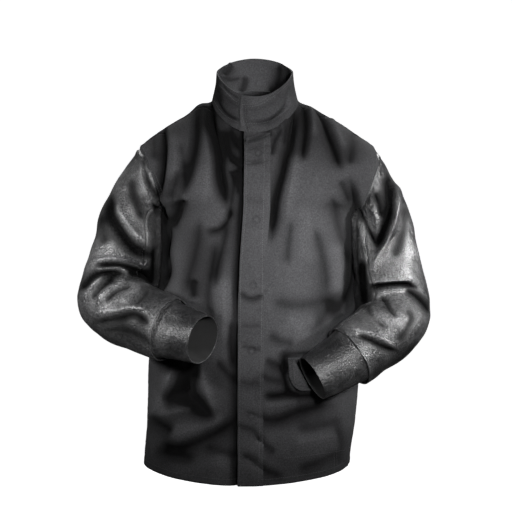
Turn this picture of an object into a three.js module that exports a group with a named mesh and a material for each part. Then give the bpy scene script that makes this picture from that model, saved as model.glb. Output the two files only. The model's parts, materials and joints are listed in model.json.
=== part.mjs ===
// A leather sleeved welding jacket in its worn shape: a cotton body with a stand collar
// and a covered front, and leather sleeves of two panels each with leather cuffs.
// Millimetres, +Z up, the front faces -Y. The origin is the middle of the neck opening,
// at the height where the jacket sits on the shoulders. Left and right are the wearer's.
import * as THREE from 'three';

// Driving sizes of the cotton body.
const bodyLength = 712; // neck seat down to the hem at the side seams
const hemDip = 25; // how much lower the hem hangs at the middle than at the sides
const bodyHalfWidth = 210; // half the width across the skirt
const frontDepth = 118; // side seam plane forward to the belly
const backDepth = 114; // side seam plane back to the middle of the back
const bodyRoundness = 0.86; // 1 is an ellipse in plan, less is squarer
const shoulderTipHalf = 233; // middle to the top of the sleeve seam
const shoulderTipDrop = 76; // how far the top of the sleeve seam lies below the seat
const shoulderBow = 9; // rise of the shoulder seam between neck and tip
const armholeHalfDepth = 76; // half the armhole, front to back
const rightArmholeBow = -18; // how far the armhole's front edge stands out from a line
const leftArmholeBow = 13;
const neckHalfWidth = 88;
const neckShift = 4; // the worn neck opening lies a little to the wearer's left
const neckFrontDepth = 76;
const neckBackDepth = 70;
const neckFrontDrop = 53;
const neckSideRise = 10;
const neckBackRise = 30;

// Driving sizes of the collar and the covered front.
const collarHeight = 70;
const collarSideHeight = 58;
const collarShift = 4; // the top of the collar leans this far to the wearer's left
const collarTopHalfWidth = 77.5;
const collarTopFrontDepth = 66;
const collarTopBackDepth = 66;
const collarBulge = -2; // how far the middle of the collar stands out
const collarLift = 0.8; // gap between the neckline and the collar's foot
const placketWidth = 50;
const placketLap = 29; // middle of the front to the free edge of the placket
const underLap = 16; // how far the right front runs past the middle, beneath
const lapRun = 26; // the length over which the under layer sinks to its level

// Driving sizes of the pocket flap.
const flapWidth = 140;
const flapHeight = 64;
const flapInset = 66; // middle of the front to the near end of the flap
const flapDrop = 485; // neck seat down to the flap's top edge
const flapCorner = 16; // size of the cut lower corners

// Driving sizes of the sleeves.
const sleeveRadius = 70;
const elbowDrop = 250; // armhole middle down to the elbow
const cuffTuck = 9; // how far the cuff runs up inside the sleeve's end
const sleeveFlare = 5; // how far the sleeve's end stands off the cuff

// Materials' thickness and the fits between pieces.
const clothWall = 2;
const collarWall = 3;
const leatherWall = 2;
const seamGap = 0.5; // between two panels along a seam
const layerGap = 0.45; // between two layers that lie on each other
const lapGap = 1.3; // between the two fronts where they lap
const armGap = 2.5; // between an arm and the body beside it
const gapRun = 30; // the drop below the armpit over which that gap opens
const trimGap = 1.0; // between the left front and the strips sewn on it

// Sizes of the creases. The tables below hold shares of these.
const foldDepth = 8;
const foldWidth = 26;
const sleeveFoldDepth = 10;

// Fineness of the mesh.
const skirtRows = 14;
const yokeRows = 10; // rows of one side of an armhole
const neckColumns = 5;
const shoulderColumns = 7;
const sleeveRings = 21;
const cuffRings = 3;
const collarRows = 4;
const ringPoints = 2 * yokeRows;
const frontSeamAt = 3; // ring point where the front sleeve seam starts
const backSeamAt = ringPoints - 3;
const neckShare = 0.28; // share of a half row that lies under the neck

// Body sections from the hem to the armpit. down: share of bodyLength. half and shift:
// shares of bodyHalfWidth. front and back: shares of the two depths.
const bodySections = [
  { name: 'hem', down: 1, half: 0.986, front: 0.98, back: 1, shift: -0.062 },
  { name: 'skirt', down: 0.85, half: 1, front: 1.02, back: 0.98, shift: -0.01 },
  { name: 'pocket', down: 0.7, half: 1.01, front: 1, back: 0.95, shift: 0.014 },
  { name: 'waist', down: 0.55, half: 0.97, front: 0.98, back: 0.95, shift: 0.03 },
  { name: 'ribs', down: 0.42, half: 0.94, front: 1, back: 1.02, shift: 0.04 },
  { name: 'armpit', down: 0.3, half: 0.925, front: 1.03, back: 1.07, shift: 0.03 },
];

// Middle line of the yoke, from above the armpit to below the neck, at a quarter, half
// and three quarters of the way up the armhole. down: share of bodyLength.
const frontYoke = [
  { name: 'breast', down: 0.252, depth: 1.03 },
  { name: 'upper chest', down: 0.192, depth: 0.98 },
  { name: 'collar bone', down: 0.13, depth: 0.86 },
];
const backYoke = [
  { name: 'shoulder blade', down: 0.225, depth: 1.11 },
  { name: 'upper back', down: 0.13, depth: 1.06 },
  { name: 'nape', down: 0.035, depth: 0.86 },
];

// Sleeve sections from the shoulder to the wrist, then the cuff's mouth. out: share of
// bodyHalfWidth. fore: share of frontDepth. beside and before: shares of the section's
// own radius, added so that the arm stays clear of the body. down: share of elbowDrop.
// round and deep: shares of sleeveRadius, across and through.
const rightSleeve = [
  { name: 'cap', out: 0.92, beside: 0.86, fore: 0, before: 0, down: 0.26, round: 0.84, deep: 1.12 },
  { name: 'upper arm', out: 0.88, beside: 1, fore: 0.16, before: 0, down: 0.5, round: 0.94, deep: 1.06 },
  { name: 'above elbow', out: 0.9, beside: 1, fore: 0.3, before: 0, down: 0.73, round: 1.03, deep: 1.02 },
  { name: 'elbow', out: 0.98, beside: 1, fore: 0.42, before: 0, down: 0.94, round: 1.02, deep: 1 },
  { name: 'below elbow', out: 0.85, beside: 1, fore: 0.5, before: 0.55, down: 1.01, round: 0.97, deep: 0.96 },
  { name: 'forearm', out: 0.68, beside: 0.95, fore: 0.6, before: 0.95, down: 1.06, round: 0.93, deep: 0.93 },
  { name: 'wrist', out: 0.5, beside: 0.9, fore: 0.8, before: 1, down: 1.125, round: 0.85, deep: 0.82 },
  { name: 'mouth', out: 0.25, beside: 0.85, fore: 1.2, before: 1.15, down: 1.18, round: 0.69, deep: 0.67 },
];
const leftSleeve = [
  { name: 'cap', out: 0.965, beside: 0.86, fore: 0, before: 0, down: 0.26, round: 0.84, deep: 1.12 },
  { name: 'upper arm', out: 0.93, beside: 1, fore: 0.06, before: 0, down: 0.5, round: 0.92, deep: 1.08 },
  { name: 'above elbow', out: 0.94, beside: 1, fore: 0.2, before: 0, down: 0.76, round: 1.02, deep: 1.03 },
  { name: 'elbow', out: 0.99, beside: 1, fore: 0.4, before: 0, down: 1.02, round: 1.04, deep: 1 },
  { name: 'below elbow', out: 0.89, beside: 1, fore: 0.52, before: 0.45, down: 1.16, round: 0.98, deep: 0.96 },
  { name: 'forearm', out: 0.75, beside: 0.97, fore: 0.54, before: 0.85, down: 1.25, round: 0.91, deep: 0.9 },
  { name: 'wrist', out: 0.6, beside: 1, fore: 0.74, before: 1.02, down: 1.34, round: 0.83, deep: 0.8 },
  { name: 'mouth', out: 0.34, beside: 0.9, fore: 0.98, before: 1.2, down: 1.49, round: 0.66, deep: 0.64 },
];

// Creases of the front, seen from the front. x: share of bodyHalfWidth, to the wearer's
// left. z: share of bodyLength, down. wide: share of foldWidth. deep: share of
// foldDepth, where a crease sinks in and a minus stands out.
const frontFolds = [
  { name: 'right neck pleat', x1: -0.44, z1: 0.01, x2: -0.27, z2: 0.22, wide: 0.8, deep: 0.9 },
  { name: 'right shoulder pleat', x1: -0.56, z1: 0.03, x2: -0.55, z2: 0.19, wide: 0.8, deep: 0.8 },
  { name: 'right arm pleat', x1: -0.85, z1: 0.08, x2: -0.88, z2: 0.26, wide: 0.7, deep: 1 },
  { name: 'right armpit dent', x1: -0.6, z1: 0.28, x2: -0.76, z2: 0.36, wide: 1.1, deep: 0.9 },
  { name: 'right chest drape', x1: -0.2, z1: 0.2, x2: -0.16, z2: 0.5, wide: 1, deep: 0.6 },
  { name: 'left neck pleat', x1: 0.34, z1: 0.06, x2: 0.14, z2: 0.32, wide: 0.9, deep: 1 },
  { name: 'left shoulder pleat', x1: 0.52, z1: 0.02, x2: 0.56, z2: 0.13, wide: 0.8, deep: 0.9 },
  { name: 'left chest drape', x1: 0.5, z1: 0.36, x2: 0.56, z2: 0.55, wide: 1.2, deep: 0.6 },
  { name: 'left side drape', x1: 0.82, z1: 0.3, x2: 0.84, z2: 0.5, wide: 1.1, deep: 0.7 },
  { name: 'right skirt hollow', x1: -0.5, z1: 0.74, x2: -0.32, z2: 0.86, wide: 1.5, deep: 1.2 },
  { name: 'right skirt ridge', x1: -0.78, z1: 0.72, x2: -0.92, z2: 0.86, wide: 1, deep: -0.7 },
  { name: 'right hem drape', x1: -0.74, z1: 0.95, x2: -0.25, z2: 0.86, wide: 1.4, deep: 0.7 },
  { name: 'middle crease', x1: -0.1, z1: 0.86, x2: 0.3, z2: 0.86, wide: 0.9, deep: 0.8 },
  { name: 'left skirt drape', x1: 0.25, z1: 0.81, x2: 0.8, z2: 0.84, wide: 1.2, deep: 0.7 },
  { name: 'left hem drape', x1: 0.1, z1: 0.93, x2: 0.4, z2: 0.99, wide: 1.2, deep: 0.6 },
];

// Creases of the back, which the front view doesn't show.
const backFolds = [
  { name: 'right back drape', x1: -0.5, z1: 0.3, x2: -0.42, z2: 0.7, wide: 1.5, deep: 0.7 },
  { name: 'left back drape', x1: 0.48, z1: 0.32, x2: 0.45, z2: 0.72, wide: 1.5, deep: 0.7 },
  { name: 'right blade pleat', x1: -0.72, z1: 0.16, x2: -0.62, z2: 0.34, wide: 1.2, deep: 0.8 },
  { name: 'left blade pleat', x1: 0.72, z1: 0.16, x2: 0.63, z2: 0.34, wide: 1.2, deep: 0.8 },
  { name: 'middle skirt drape', x1: 0.05, z1: 0.62, x2: -0.04, z2: 0.95, wide: 1.6, deep: 0.6 },
];

// Creases of a sleeve. along: share of the way from armhole to wrist. around: degrees,
// 0 at the armpit side, 90 at the front, 180 at the outside. span: degrees either way.
// slant: how much along grows in 90 degrees. deep: share of sleeveFoldDepth.
const rightSleeveFolds = [
  { name: 'upper slash', along: 0.36, around: 110, span: 42, wide: 0.05, slant: -0.12, deep: 0.8 },
  { name: 'elbow pleat', along: 0.55, around: 95, span: 70, wide: 0.04, slant: 0, deep: 1.3 },
  { name: 'inner elbow pleat', along: 0.64, around: 70, span: 50, wide: 0.035, slant: 0.05, deep: 1 },
  { name: 'forearm drape', along: 0.8, around: 110, span: 60, wide: 0.05, slant: 0.1, deep: 0.5 },
  { name: 'point of the elbow', along: 0.6, around: 250, span: 60, wide: 0.1, slant: 0, deep: -0.5 },
];
const leftSleeveFolds = [
  { name: 'upper slash', along: 0.3, around: 100, span: 40, wide: 0.06, slant: 0.16, deep: 0.8 },
  { name: 'elbow pleat', along: 0.54, around: 95, span: 70, wide: 0.04, slant: 0, deep: 1.3 },
  { name: 'inner elbow pleat', along: 0.63, around: 75, span: 50, wide: 0.035, slant: -0.04, deep: 1 },
  { name: 'forearm drape', along: 0.84, around: 100, span: 60, wide: 0.05, slant: 0.08, deep: 0.6 },
  { name: 'point of the elbow', along: 0.6, around: 250, span: 60, wide: 0.1, slant: 0, deep: -0.5 },
];

const FRONT = 1;
const BACK = -1;
const quarterTurn = Math.PI / 2;
const mix = THREE.MathUtils.lerp;
const ease = THREE.MathUtils.smoothstep;

function cloth(color) {
  return new THREE.MeshStandardMaterial({ color, roughness: 0.92, metalness: 0 });
}
function leather(color) {
  return new THREE.MeshStandardMaterial({ color, roughness: 0.42, metalness: 0 });
}
const cottonFinish = cloth(0x2b2b2c);
const leatherFinish = leather(0x1d1d1e);

// The worn chest lies a little to the wearer's left of the neck seat.
const chestShift = bodySections[bodySections.length - 1].shift * bodyHalfWidth;

// A point of the armhole seam. turn runs from 0 at the armpit to PI at the tip.
function armholePoint(side, face, turn) {
  const armpit = bodySections[bodySections.length - 1];
  const low = new THREE.Vector3(armpit.half * bodyHalfWidth, 0, -armpit.down * bodyLength);
  const high = new THREE.Vector3(shoulderTipHalf, 0, -shoulderTipDrop);
  const point = low.clone().lerp(high, (1 - Math.cos(turn)) / 2);
  if (face === FRONT) {
    point.x += (side > 0 ? leftArmholeBow : rightArmholeBow) * Math.sin(turn);
  }
  point.x = side * point.x + chestShift;
  point.y = -face * armholeHalfDepth * Math.sin(turn);
  return point;
}

// A point of the neckline. turn runs from 0 at the middle to a quarter turn at the side.
function necklinePoint(side, face, turn) {
  const depth = face === FRONT ? neckFrontDepth : neckBackDepth;
  const level = face === FRONT ? -neckFrontDrop : neckBackRise;
  const toMiddle = Math.cos(turn);
  return new THREE.Vector3(
    neckShift + side * neckHalfWidth * Math.sin(turn),
    -face * depth * toMiddle,
    mix(neckSideRise, level, toMiddle ** 1.4),
  );
}

// A point of one named section of the body. s runs from -1 at the right side, through 0
// at the middle, to 1 at the left side.
function sectionPoint(face, section, s) {
  const turn = s * quarterTurn;
  const depth = face === FRONT ? section.front * frontDepth : section.back * backDepth;
  const toMiddle = Math.max(Math.cos(turn), 0);
  const dip = section.name === 'hem' ? hemDip * toMiddle ** 1.5 : 0;
  return new THREE.Vector3(
    bodyHalfWidth * (section.half * Math.sin(turn) + section.shift),
    -face * depth * toMiddle ** bodyRoundness,
    -section.down * bodyLength - dip,
  );
}

// A point of a yoke row, which runs from the middle line out to the armhole.
function yokePoint(face, row, armholeTurn, s) {
  const side = Math.sign(s) || 1;
  const turn = Math.abs(s) * quarterTurn;
  const end = armholePoint(side, face, armholeTurn);
  const depth = face === FRONT ? frontDepth : backDepth;
  const middleY = -face * depth * row.depth;
  return new THREE.Vector3(
    mix(chestShift, end.x, Math.sin(turn)),
    mix(end.y, middleY, Math.max(Math.cos(turn), 0) ** bodyRoundness),
    mix(-row.down * bodyLength, end.z, 1 - Math.cos(turn)),
  );
}

// The top edge: the neckline, then the shoulder seam out to the tip.
function topEdgePoint(face, s) {
  const side = Math.sign(s) || 1;
  const share = Math.abs(s);
  if (share <= neckShare) return necklinePoint(side, face, (share / neckShare) * quarterTurn);
  const run = (share - neckShare) / (1 - neckShare);
  const point = necklinePoint(side, face, quarterTurn);
  point.lerp(armholePoint(side, face, Math.PI), run);
  point.z += shoulderBow * Math.sin(run ** 0.75 * Math.PI);
  return point;
}

// The sections of one face of the body as a list, hem first.
function keyRow(face, index, s) {
  if (index < bodySections.length) return sectionPoint(face, bodySections[index], s);
  const yoke = face === FRONT ? frontYoke : backYoke;
  const step = index - bodySections.length;
  if (step < yoke.length) {
    return yokePoint(face, yoke[step], ((step + 1) * Math.PI) / (yoke.length + 1), s);
  }
  return topEdgePoint(face, s);
}
const keyRows = bodySections.length + frontYoke.length + 1;
const armpitKey = bodySections.length - 1;

// A point of the smooth body. v runs from 0 at the hem to keyRows - 1 at the top edge.
function bodyPoint(face, s, v) {
  const line = [];
  for (let i = 0; i < keyRows; i += 1) line.push(keyRow(face, i, s));
  if (v < armpitKey) {
    const onward = line[armpitKey].clone().multiplyScalar(2).sub(line[armpitKey - 1]);
    line[armpitKey + 1].lerp(onward, ease(Math.abs(s), 0.75, 1));
  }
  const curve = new THREE.CatmullRomCurve3(line, false, 'catmullrom', 0.5);
  return curve.getPoint(v / (keyRows - 1));
}

// How deep the creases are at a place seen from the front or back.
function creaseDepth(folds, point) {
  const x = point.x / bodyHalfWidth;
  const z = -point.z / bodyLength;
  const scale = bodyLength / bodyHalfWidth;
  let depth = 0;
  for (const fold of folds) {
    const runX = fold.x2 - fold.x1;
    const runZ = (fold.z2 - fold.z1) * scale;
    const length = runX * runX + runZ * runZ;
    const along = ((x - fold.x1) * runX + (z - fold.z1) * scale * runZ) / length;
    const held = THREE.MathUtils.clamp(along, 0, 1);
    const awayX = x - fold.x1 - held * runX;
    const awayZ = (z - fold.z1) * scale - held * runZ;
    const away = Math.hypot(awayX, awayZ) * bodyHalfWidth;
    const width = fold.wide * foldWidth;
    depth += fold.deep * foldDepth * Math.exp(-((away / width) ** 2));
  }
  return depth;
}

// Creases fade to nothing at the seams, so that neighbouring panels still meet.
function seamFade(s, v) {
  const side = ease(1 - Math.abs(s), 0, 0.18);
  const top = ease(keyRows - 1 - v, 0, 0.8);
  return side * top;
}

// The outward direction of the smooth body.
function bodyNormal(face, s, v) {
  const step = 0.01;
  const across = bodyPoint(face, s + step, v).sub(bodyPoint(face, s - step, v));
  const up = bodyPoint(face, s, Math.min(v + step, keyRows - 1));
  up.sub(bodyPoint(face, s, Math.max(v - step, 0)));
  return across.cross(up).multiplyScalar(face).normalize();
}

// A point of the body with its creases.
function creasedPoint(face, s, v) {
  const point = bodyPoint(face, s, v);
  const fade = seamFade(s, v);
  if (fade === 0) return point;
  const depth = creaseDepth(face === FRONT ? frontFolds : backFolds, point) * fade;
  return point.addScaledVector(bodyNormal(face, s, v), -depth);
}

// The share s at which a front row stands x from the middle.
function shareAt(x, v) {
  let low = -1;
  let high = 1;
  for (let i = 0; i < 30; i += 1) {
    const middle = (low + high) / 2;
    if (bodyPoint(FRONT, middle, v).x < x) low = middle;
    else high = middle;
  }
  return (low + high) / 2;
}

// The rows' places between hem and top edge, evenly spaced below and above the armpit.
const rowPlaces = [];
for (let i = 0; i < skirtRows; i += 1) rowPlaces.push((armpitKey * i) / skirtRows);
for (let i = 0; i <= yokeRows; i += 1) {
  rowPlaces.push(mix(armpitKey, keyRows - 1, i / yokeRows));
}

// Shares from start out to the side: neckColumns steps to the neck point, then
// shoulderColumns more.
function columnShares(start) {
  const shares = [];
  for (let i = 0; i < neckColumns; i += 1) shares.push(mix(start, neckShare, i / neckColumns));
  for (let i = 0; i <= shoulderColumns; i += 1) {
    shares.push(mix(neckShare, 1, i / shoulderColumns));
  }
  return shares;
}

// Panels are grids of points on the outer face: rows of Vector3, each row running so
// that the outer face is on its right hand side when the next row lies above.
function frontPanel(side, edgeX) {
  return rowPlaces.map((v) => {
    const start = side * shareAt(side * edgeX(v), v);
    const shares = columnShares(start).map((share) => side * share);
    if (side < 0) shares.reverse();
    return shares.map((s) => creasedPoint(FRONT, s, v));
  });
}
function backPanel() {
  const half = columnShares(0);
  const shares = [...half.slice(1).reverse(), ...half.map((share) => -share)];
  return rowPlaces.map((v) => shares.map((s) => creasedPoint(BACK, s, v)));
}

// The free edge of the left front lies just inside the placket's edge.
const leftFrontEdge = () => -placketLap + layerGap * 3;
const rightFrontEdge = () => -underLap;
const rightFront = frontPanel(-1, rightFrontEdge);
const leftFront = frontPanel(1, leftFrontEdge);
const back = backPanel();

// Collar: each column rises from a point of the neckline.
function collarColumn(neck) {
  const foot = neck.clone();
  foot.z += collarLift;
  const inFront = foot.y < 0;
  const footDepth = inFront ? neckFrontDepth : neckBackDepth;
  const topDepth = inFront ? collarTopFrontDepth : collarTopBackDepth;
  const height = mix(collarSideHeight, collarHeight, Math.abs(foot.y) / footDepth);
  const top = new THREE.Vector3(
    collarShift + ((foot.x - neckShift) * collarTopHalfWidth) / neckHalfWidth,
    (foot.y * topDepth) / footDepth,
    foot.z + height,
  );
  const outward = new THREE.Vector3(foot.x - neckShift, foot.y, 0).normalize();
  const column = [];
  for (let i = 0; i <= collarRows; i += 1) {
    const share = i / collarRows;
    const point = foot.clone().lerp(top, share);
    column.push(point.addScaledVector(outward, collarBulge * Math.sin(share * Math.PI)));
  }
  return column;
}
function collarBand() {
  const top = (panel) => panel[panel.length - 1];
  const feet = [
    ...top(leftFront).slice(0, neckColumns + 1),
    ...top(back).slice(shoulderColumns + 1, -shoulderColumns - 1),
    ...top(rightFront).slice(shoulderColumns),
  ];
  const columns = feet.map(collarColumn);
  const rows = [];
  for (let i = 0; i <= collarRows; i += 1) rows.push(columns.map((column) => column[i]));
  return rows;
}
const collar = collarBand();

// The armhole loop of one side, from the armpit up the front and down the back.
function armholeLoop(side) {
  const end = (panel) => (row) => {
    const first = panel === back ? side > 0 : side < 0;
    return first ? panel[row][0] : panel[row][panel[row].length - 1];
  };
  const front = end(side > 0 ? leftFront : rightFront);
  const rear = end(back);
  const loop = [];
  for (let i = 0; i <= yokeRows; i += 1) loop.push(front(skirtRows + i).clone());
  for (let i = yokeRows - 1; i > 0; i -= 1) loop.push(rear(skirtRows + i).clone());
  return loop;
}

// The middle of one sleeve section.
function sleeveCentre(side, section) {
  const across = section.round * sleeveRadius;
  const armholeMiddle = armholePoint(side, FRONT, quarterTurn).z;
  return new THREE.Vector3(
    side * (section.out * bodyHalfWidth + section.beside * across),
    -(section.fore * frontDepth + section.before * section.deep * sleeveRadius),
    armholeMiddle - section.down * elbowDrop,
  );
}

// Frames along the sleeve's middle line, turned from one to the next without twist.
function sleeveFrames(side, sections) {
  const tip = armholePoint(side, FRONT, Math.PI);
  const armpit = armholePoint(side, FRONT, 0);
  const start = tip.clone().add(armpit).multiplyScalar(0.5);
  const centres = [start, ...sections.map((section) => sleeveCentre(side, section))];
  const spine = new THREE.CatmullRomCurve3(centres, false, 'catmullrom', 0.5);
  let outer = tip.clone().sub(armpit).normalize();
  let fore = new THREE.Vector3(0, -1, 0);
  let heading = new THREE.Vector3(outer.z * side, 0, -Math.abs(outer.x));
  const turn = new THREE.Quaternion();
  const finer = 12;
  const frames = [];
  for (let i = 0; i <= (centres.length - 1) * finer; i += 1) {
    const next = spine.getTangent(i / ((centres.length - 1) * finer));
    turn.setFromUnitVectors(heading, next);
    outer = outer.clone().applyQuaternion(turn);
    fore = fore.clone().applyQuaternion(turn);
    heading = next;
    if (i % finer === 0) frames.push({ centre: centres[i / finer], heading, outer, fore });
  }
  return frames;
}

// One ring of points about a frame. Point 0 is on the armpit side.
function ringAbout(frame, across, through) {
  const ring = [];
  for (let k = 0; k < ringPoints; k += 1) {
    const turn = (k / ringPoints) * 2 * Math.PI;
    const point = frame.centre.clone();
    point.addScaledVector(frame.outer, -across * Math.cos(turn));
    ring.push(point.addScaledVector(frame.fore, through * Math.sin(turn)));
  }
  return ring;
}

// Lofts key rings into evenly spaced rings between two places along them.
function loftRings(keyRings, from, to, count) {
  const lines = keyRings[0].map(
    (_, k) => new THREE.CatmullRomCurve3(keyRings.map((ring) => ring[k]), false, 'catmullrom', 0.5),
  );
  const rings = [];
  for (let i = 0; i <= count; i += 1) {
    const place = mix(from, to, i / count) / (keyRings.length - 1);
    rings.push(lines.map((line) => line.getPoint(place)));
  }
  return rings;
}

// Presses the creases of a sleeve into its rings. They fade at the armhole and wrist.
function creaseRings(rings, folds) {
  const middles = rings.map((ring) =>
    ring.reduce((sum, point) => sum.add(point), new THREE.Vector3()).divideScalar(ring.length),
  );
  return rings.map((ring, i) => {
    const along = i / (rings.length - 1);
    const fade = ease(along, 0, 0.12) * ease(1 - along, 0, 0.1);
    return ring.map((point, k) => {
      const around = (k / ringPoints) * 360;
      let depth = 0;
      for (const fold of folds) {
        const away = ((around - fold.around + 540) % 360) - 180;
        const off = along - fold.along - (fold.slant * away) / 90;
        const across = Math.exp(-((off / fold.wide) ** 2));
        depth += fold.deep * sleeveFoldDepth * across * Math.exp(-((away / fold.span) ** 2));
      }
      const inward = middles[i].clone().sub(point).normalize();
      return point.clone().addScaledVector(inward, depth * fade);
    });
  });
}

// How far out a point lies from the axis of the body, where 1 is on the body's face.
function bodyShare(point, section) {
  const depth = point.y < 0 ? section.front * frontDepth : section.back * backDepth;
  const across = (point.x / bodyHalfWidth - section.shift) / section.half;
  return across ** 2 + (Math.abs(point.y) / depth) ** (2 / bodyRoundness);
}

// The body's section at a height, mixed from its neighbours in the table.
function sectionAt(z) {
  const down = THREE.MathUtils.clamp(-z / bodyLength, bodySections[armpitKey].down, 1);
  const next = Math.max(bodySections.findIndex((each) => each.down <= down), 1);
  const [low, high] = [bodySections[next - 1], bodySections[next]];
  const share = (low.down - down) / (low.down - high.down);
  const mixed = {};
  for (const key of ['half', 'front', 'back', 'shift']) {
    mixed[key] = mix(low[key], high[key], share);
  }
  return mixed;
}

// Moves a point of an arm out of the body, to armGap off its face. The gap opens over
// gapRun below the armpit, where the sleeve is sewn on.
function keepClear(point) {
  const below = -bodySections[armpitKey].down * bodyLength - point.z;
  if (below <= 0) return point;
  const section = sectionAt(point.z);
  const gap = armGap * ease(below, 0, gapRun);
  const middle = new THREE.Vector3(section.shift * bodyHalfWidth, 0, point.z);
  const out = point.clone().sub(middle);
  const reach = out.length();
  out.normalize();
  let low = 0;
  let high = 2 * bodyHalfWidth;
  for (let i = 0; i < 24; i += 1) {
    const half = (low + high) / 2;
    if (bodyShare(middle.clone().addScaledVector(out, half), section) < 1) low = half;
    else high = half;
  }
  return middle.addScaledVector(out, Math.max(reach, low + gap));
}

// The rings of one sleeve, from the armhole to the wrist, and of its cuff.
function sleeveRingsOf(side, sections, folds) {
  const frames = sleeveFrames(side, sections);
  const keyRings = frames.map((frame, i) => {
    if (i === 0) return armholeLoop(side);
    const section = sections[i - 1];
    const flare = section.name === 'wrist' ? sleeveFlare : 0;
    const across = section.round * sleeveRadius + flare;
    return ringAbout(frame, across, section.deep * sleeveRadius + flare);
  });
  const wristKey = frames.length - 2;
  const creased = creaseRings(loftRings(keyRings, 0, wristKey, sleeveRings), folds);
  const rings = creased.map((ring, i) => (i === 0 ? ring : ring.map(keepClear)));
  return { rings, cuff: cuffRingsOf(rings, frames, sections) };
}

// The cuff starts against the inside of the sleeve's end, draws in, and runs out to
// the mouth.
function cuffRingsOf(rings, frames, sections) {
  const inset = leatherWall + layerGap;
  const [before, end] = rings.slice(-2);
  const foot = end.map((point, k) => {
    const back = before[k].clone().sub(point).setLength(cuffTuck);
    const middle = end[(k + ringPoints / 2) % ringPoints];
    const inward = middle.clone().sub(point).setLength(inset);
    return point.clone().add(back).add(inward);
  });
  const [wrist, mouth] = sections.slice(-2);
  const [wristFrame, mouthFrame] = frames.slice(-2);
  const across = (section) => section.round * sleeveRadius;
  const through = (section) => section.deep * sleeveRadius;
  const keyRings = [
    ringAbout(wristFrame, across(wrist) - inset, through(wrist) - inset),
    ringAbout(mouthFrame, across(mouth), through(mouth)),
  ];
  return [foot, ...loftRings(keyRings, 0, 1, cuffRings)];
}

const rightArm = sleeveRingsOf(-1, rightSleeve, rightSleeveFolds);
const leftArm = sleeveRingsOf(1, leftSleeve, leftSleeveFolds);

// The points of each ring from one seam round to the other.
function betweenSeams(rings, from, to) {
  return rings.map((ring) => {
    const part = [];
    for (let k = from; k <= to; k += 1) part.push(ring[k % ringPoints]);
    return part;
  });
}

// A panel: its grid, its wall, which way its rows turn, whether its rows close on
// themselves, and how far its points sink below the layer that covers them.
function panel(name, grid, wall, finish, extra = {}) {
  return { name, grid, wall, finish, turn: 1, closed: false, sink: () => 0, ...extra };
}
function clothPanel(name, grid, extra) {
  return panel(name, grid, clothWall, cottonFinish, extra);
}
function leatherPanel(name, grid, extra) {
  return panel(name, grid, leatherWall, leatherFinish, extra);
}

// The two sleeve panels and the cuff of one arm.
function armPanels(side, arm, turn) {
  const outer = betweenSeams(arm.rings, frontSeamAt, backSeamAt);
  const inner = betweenSeams(arm.rings, backSeamAt, ringPoints + frontSeamAt);
  return [
    leatherPanel(`sleeve_${side}_outer`, outer, { turn }),
    leatherPanel(`sleeve_${side}_inner`, inner, { turn }),
    leatherPanel(`cuff_${side}`, arm.cuff, { turn, closed: true }),
  ];
}

// The under layer of a lap sinks by this depth on its way to the covering edge.
function lapSink(depth) {
  return (point) => depth * ease(point.x, -placketLap - lapRun, -placketLap);
}
const collarUnderEnd = collar[0].length - neckColumns - 1;
const collarSink = (point, column) =>
  column < collarUnderEnd ? 0 : lapSink(collarWall + lapGap)(point);

const panels = [
  clothPanel('front_right', rightFront, { sink: lapSink(clothWall + lapGap) }),
  clothPanel('front_left', leftFront),
  clothPanel('back', back),
  panel('collar', collar, collarWall, cottonFinish, { sink: collarSink }),
  ...armPanels('right', rightArm, 1),
  ...armPanels('left', leftArm, -1),
];

// The two triangles of each cell of a grid, as pairs of row and column.
function cellTriangles(grid, closed) {
  const cells = [];
  const width = grid[0].length;
  for (let i = 0; i + 1 < grid.length; i += 1) {
    for (let j = 0; j < (closed ? width : width - 1); j += 1) {
      const right = (j + 1) % width;
      cells.push([[i, j], [i, right], [i + 1, right]]);
      cells.push([[i, j], [i + 1, right], [i + 1, j]]);
    }
  }
  return cells;
}

// Outward directions at every grid point, shared by panels that meet at a seam.
function shareNormals(group) {
  const sums = new Map();
  const place = (point) => point.toArray().map((value) => Math.round(value * 100 + 0.137)).join();
  for (const each of group) {
    for (const triangle of cellTriangles(each.grid, each.closed)) {
      const [a, b, c] = triangle.map(([i, j]) => each.grid[i][j]);
      const facing = b.clone().sub(a).cross(c.clone().sub(a)).multiplyScalar(each.turn);
      for (const corner of [a, b, c]) {
        const sum = sums.get(place(corner)) || new THREE.Vector3();
        sums.set(place(corner), sum.add(facing));
      }
    }
  }
  for (const each of group) {
    each.normals = each.grid.map((row) =>
      row.map((point) => sums.get(place(point)).clone().normalize()),
    );
  }
}
shareNormals(panels);

// The free and sewn edges of a panel draw back by half the seam gap.
function drawnBack(each) {
  const { grid, closed } = each;
  const lastRow = grid.length - 1;
  const lastColumn = grid[0].length - 1;
  return grid.map((row, i) =>
    row.map((point, j) => {
      const moved = point.clone();
      const pull = (neighbour) => {
        const way = neighbour.clone().sub(point).normalize();
        moved.addScaledVector(way, seamGap / 2);
      };
      if (i === 0) pull(grid[1][j]);
      if (i === lastRow) pull(grid[lastRow - 1][j]);
      if (!closed && j === 0) pull(row[1]);
      if (!closed && j === lastColumn) pull(row[lastColumn - 1]);
      return moved;
    }),
  );
}

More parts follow.
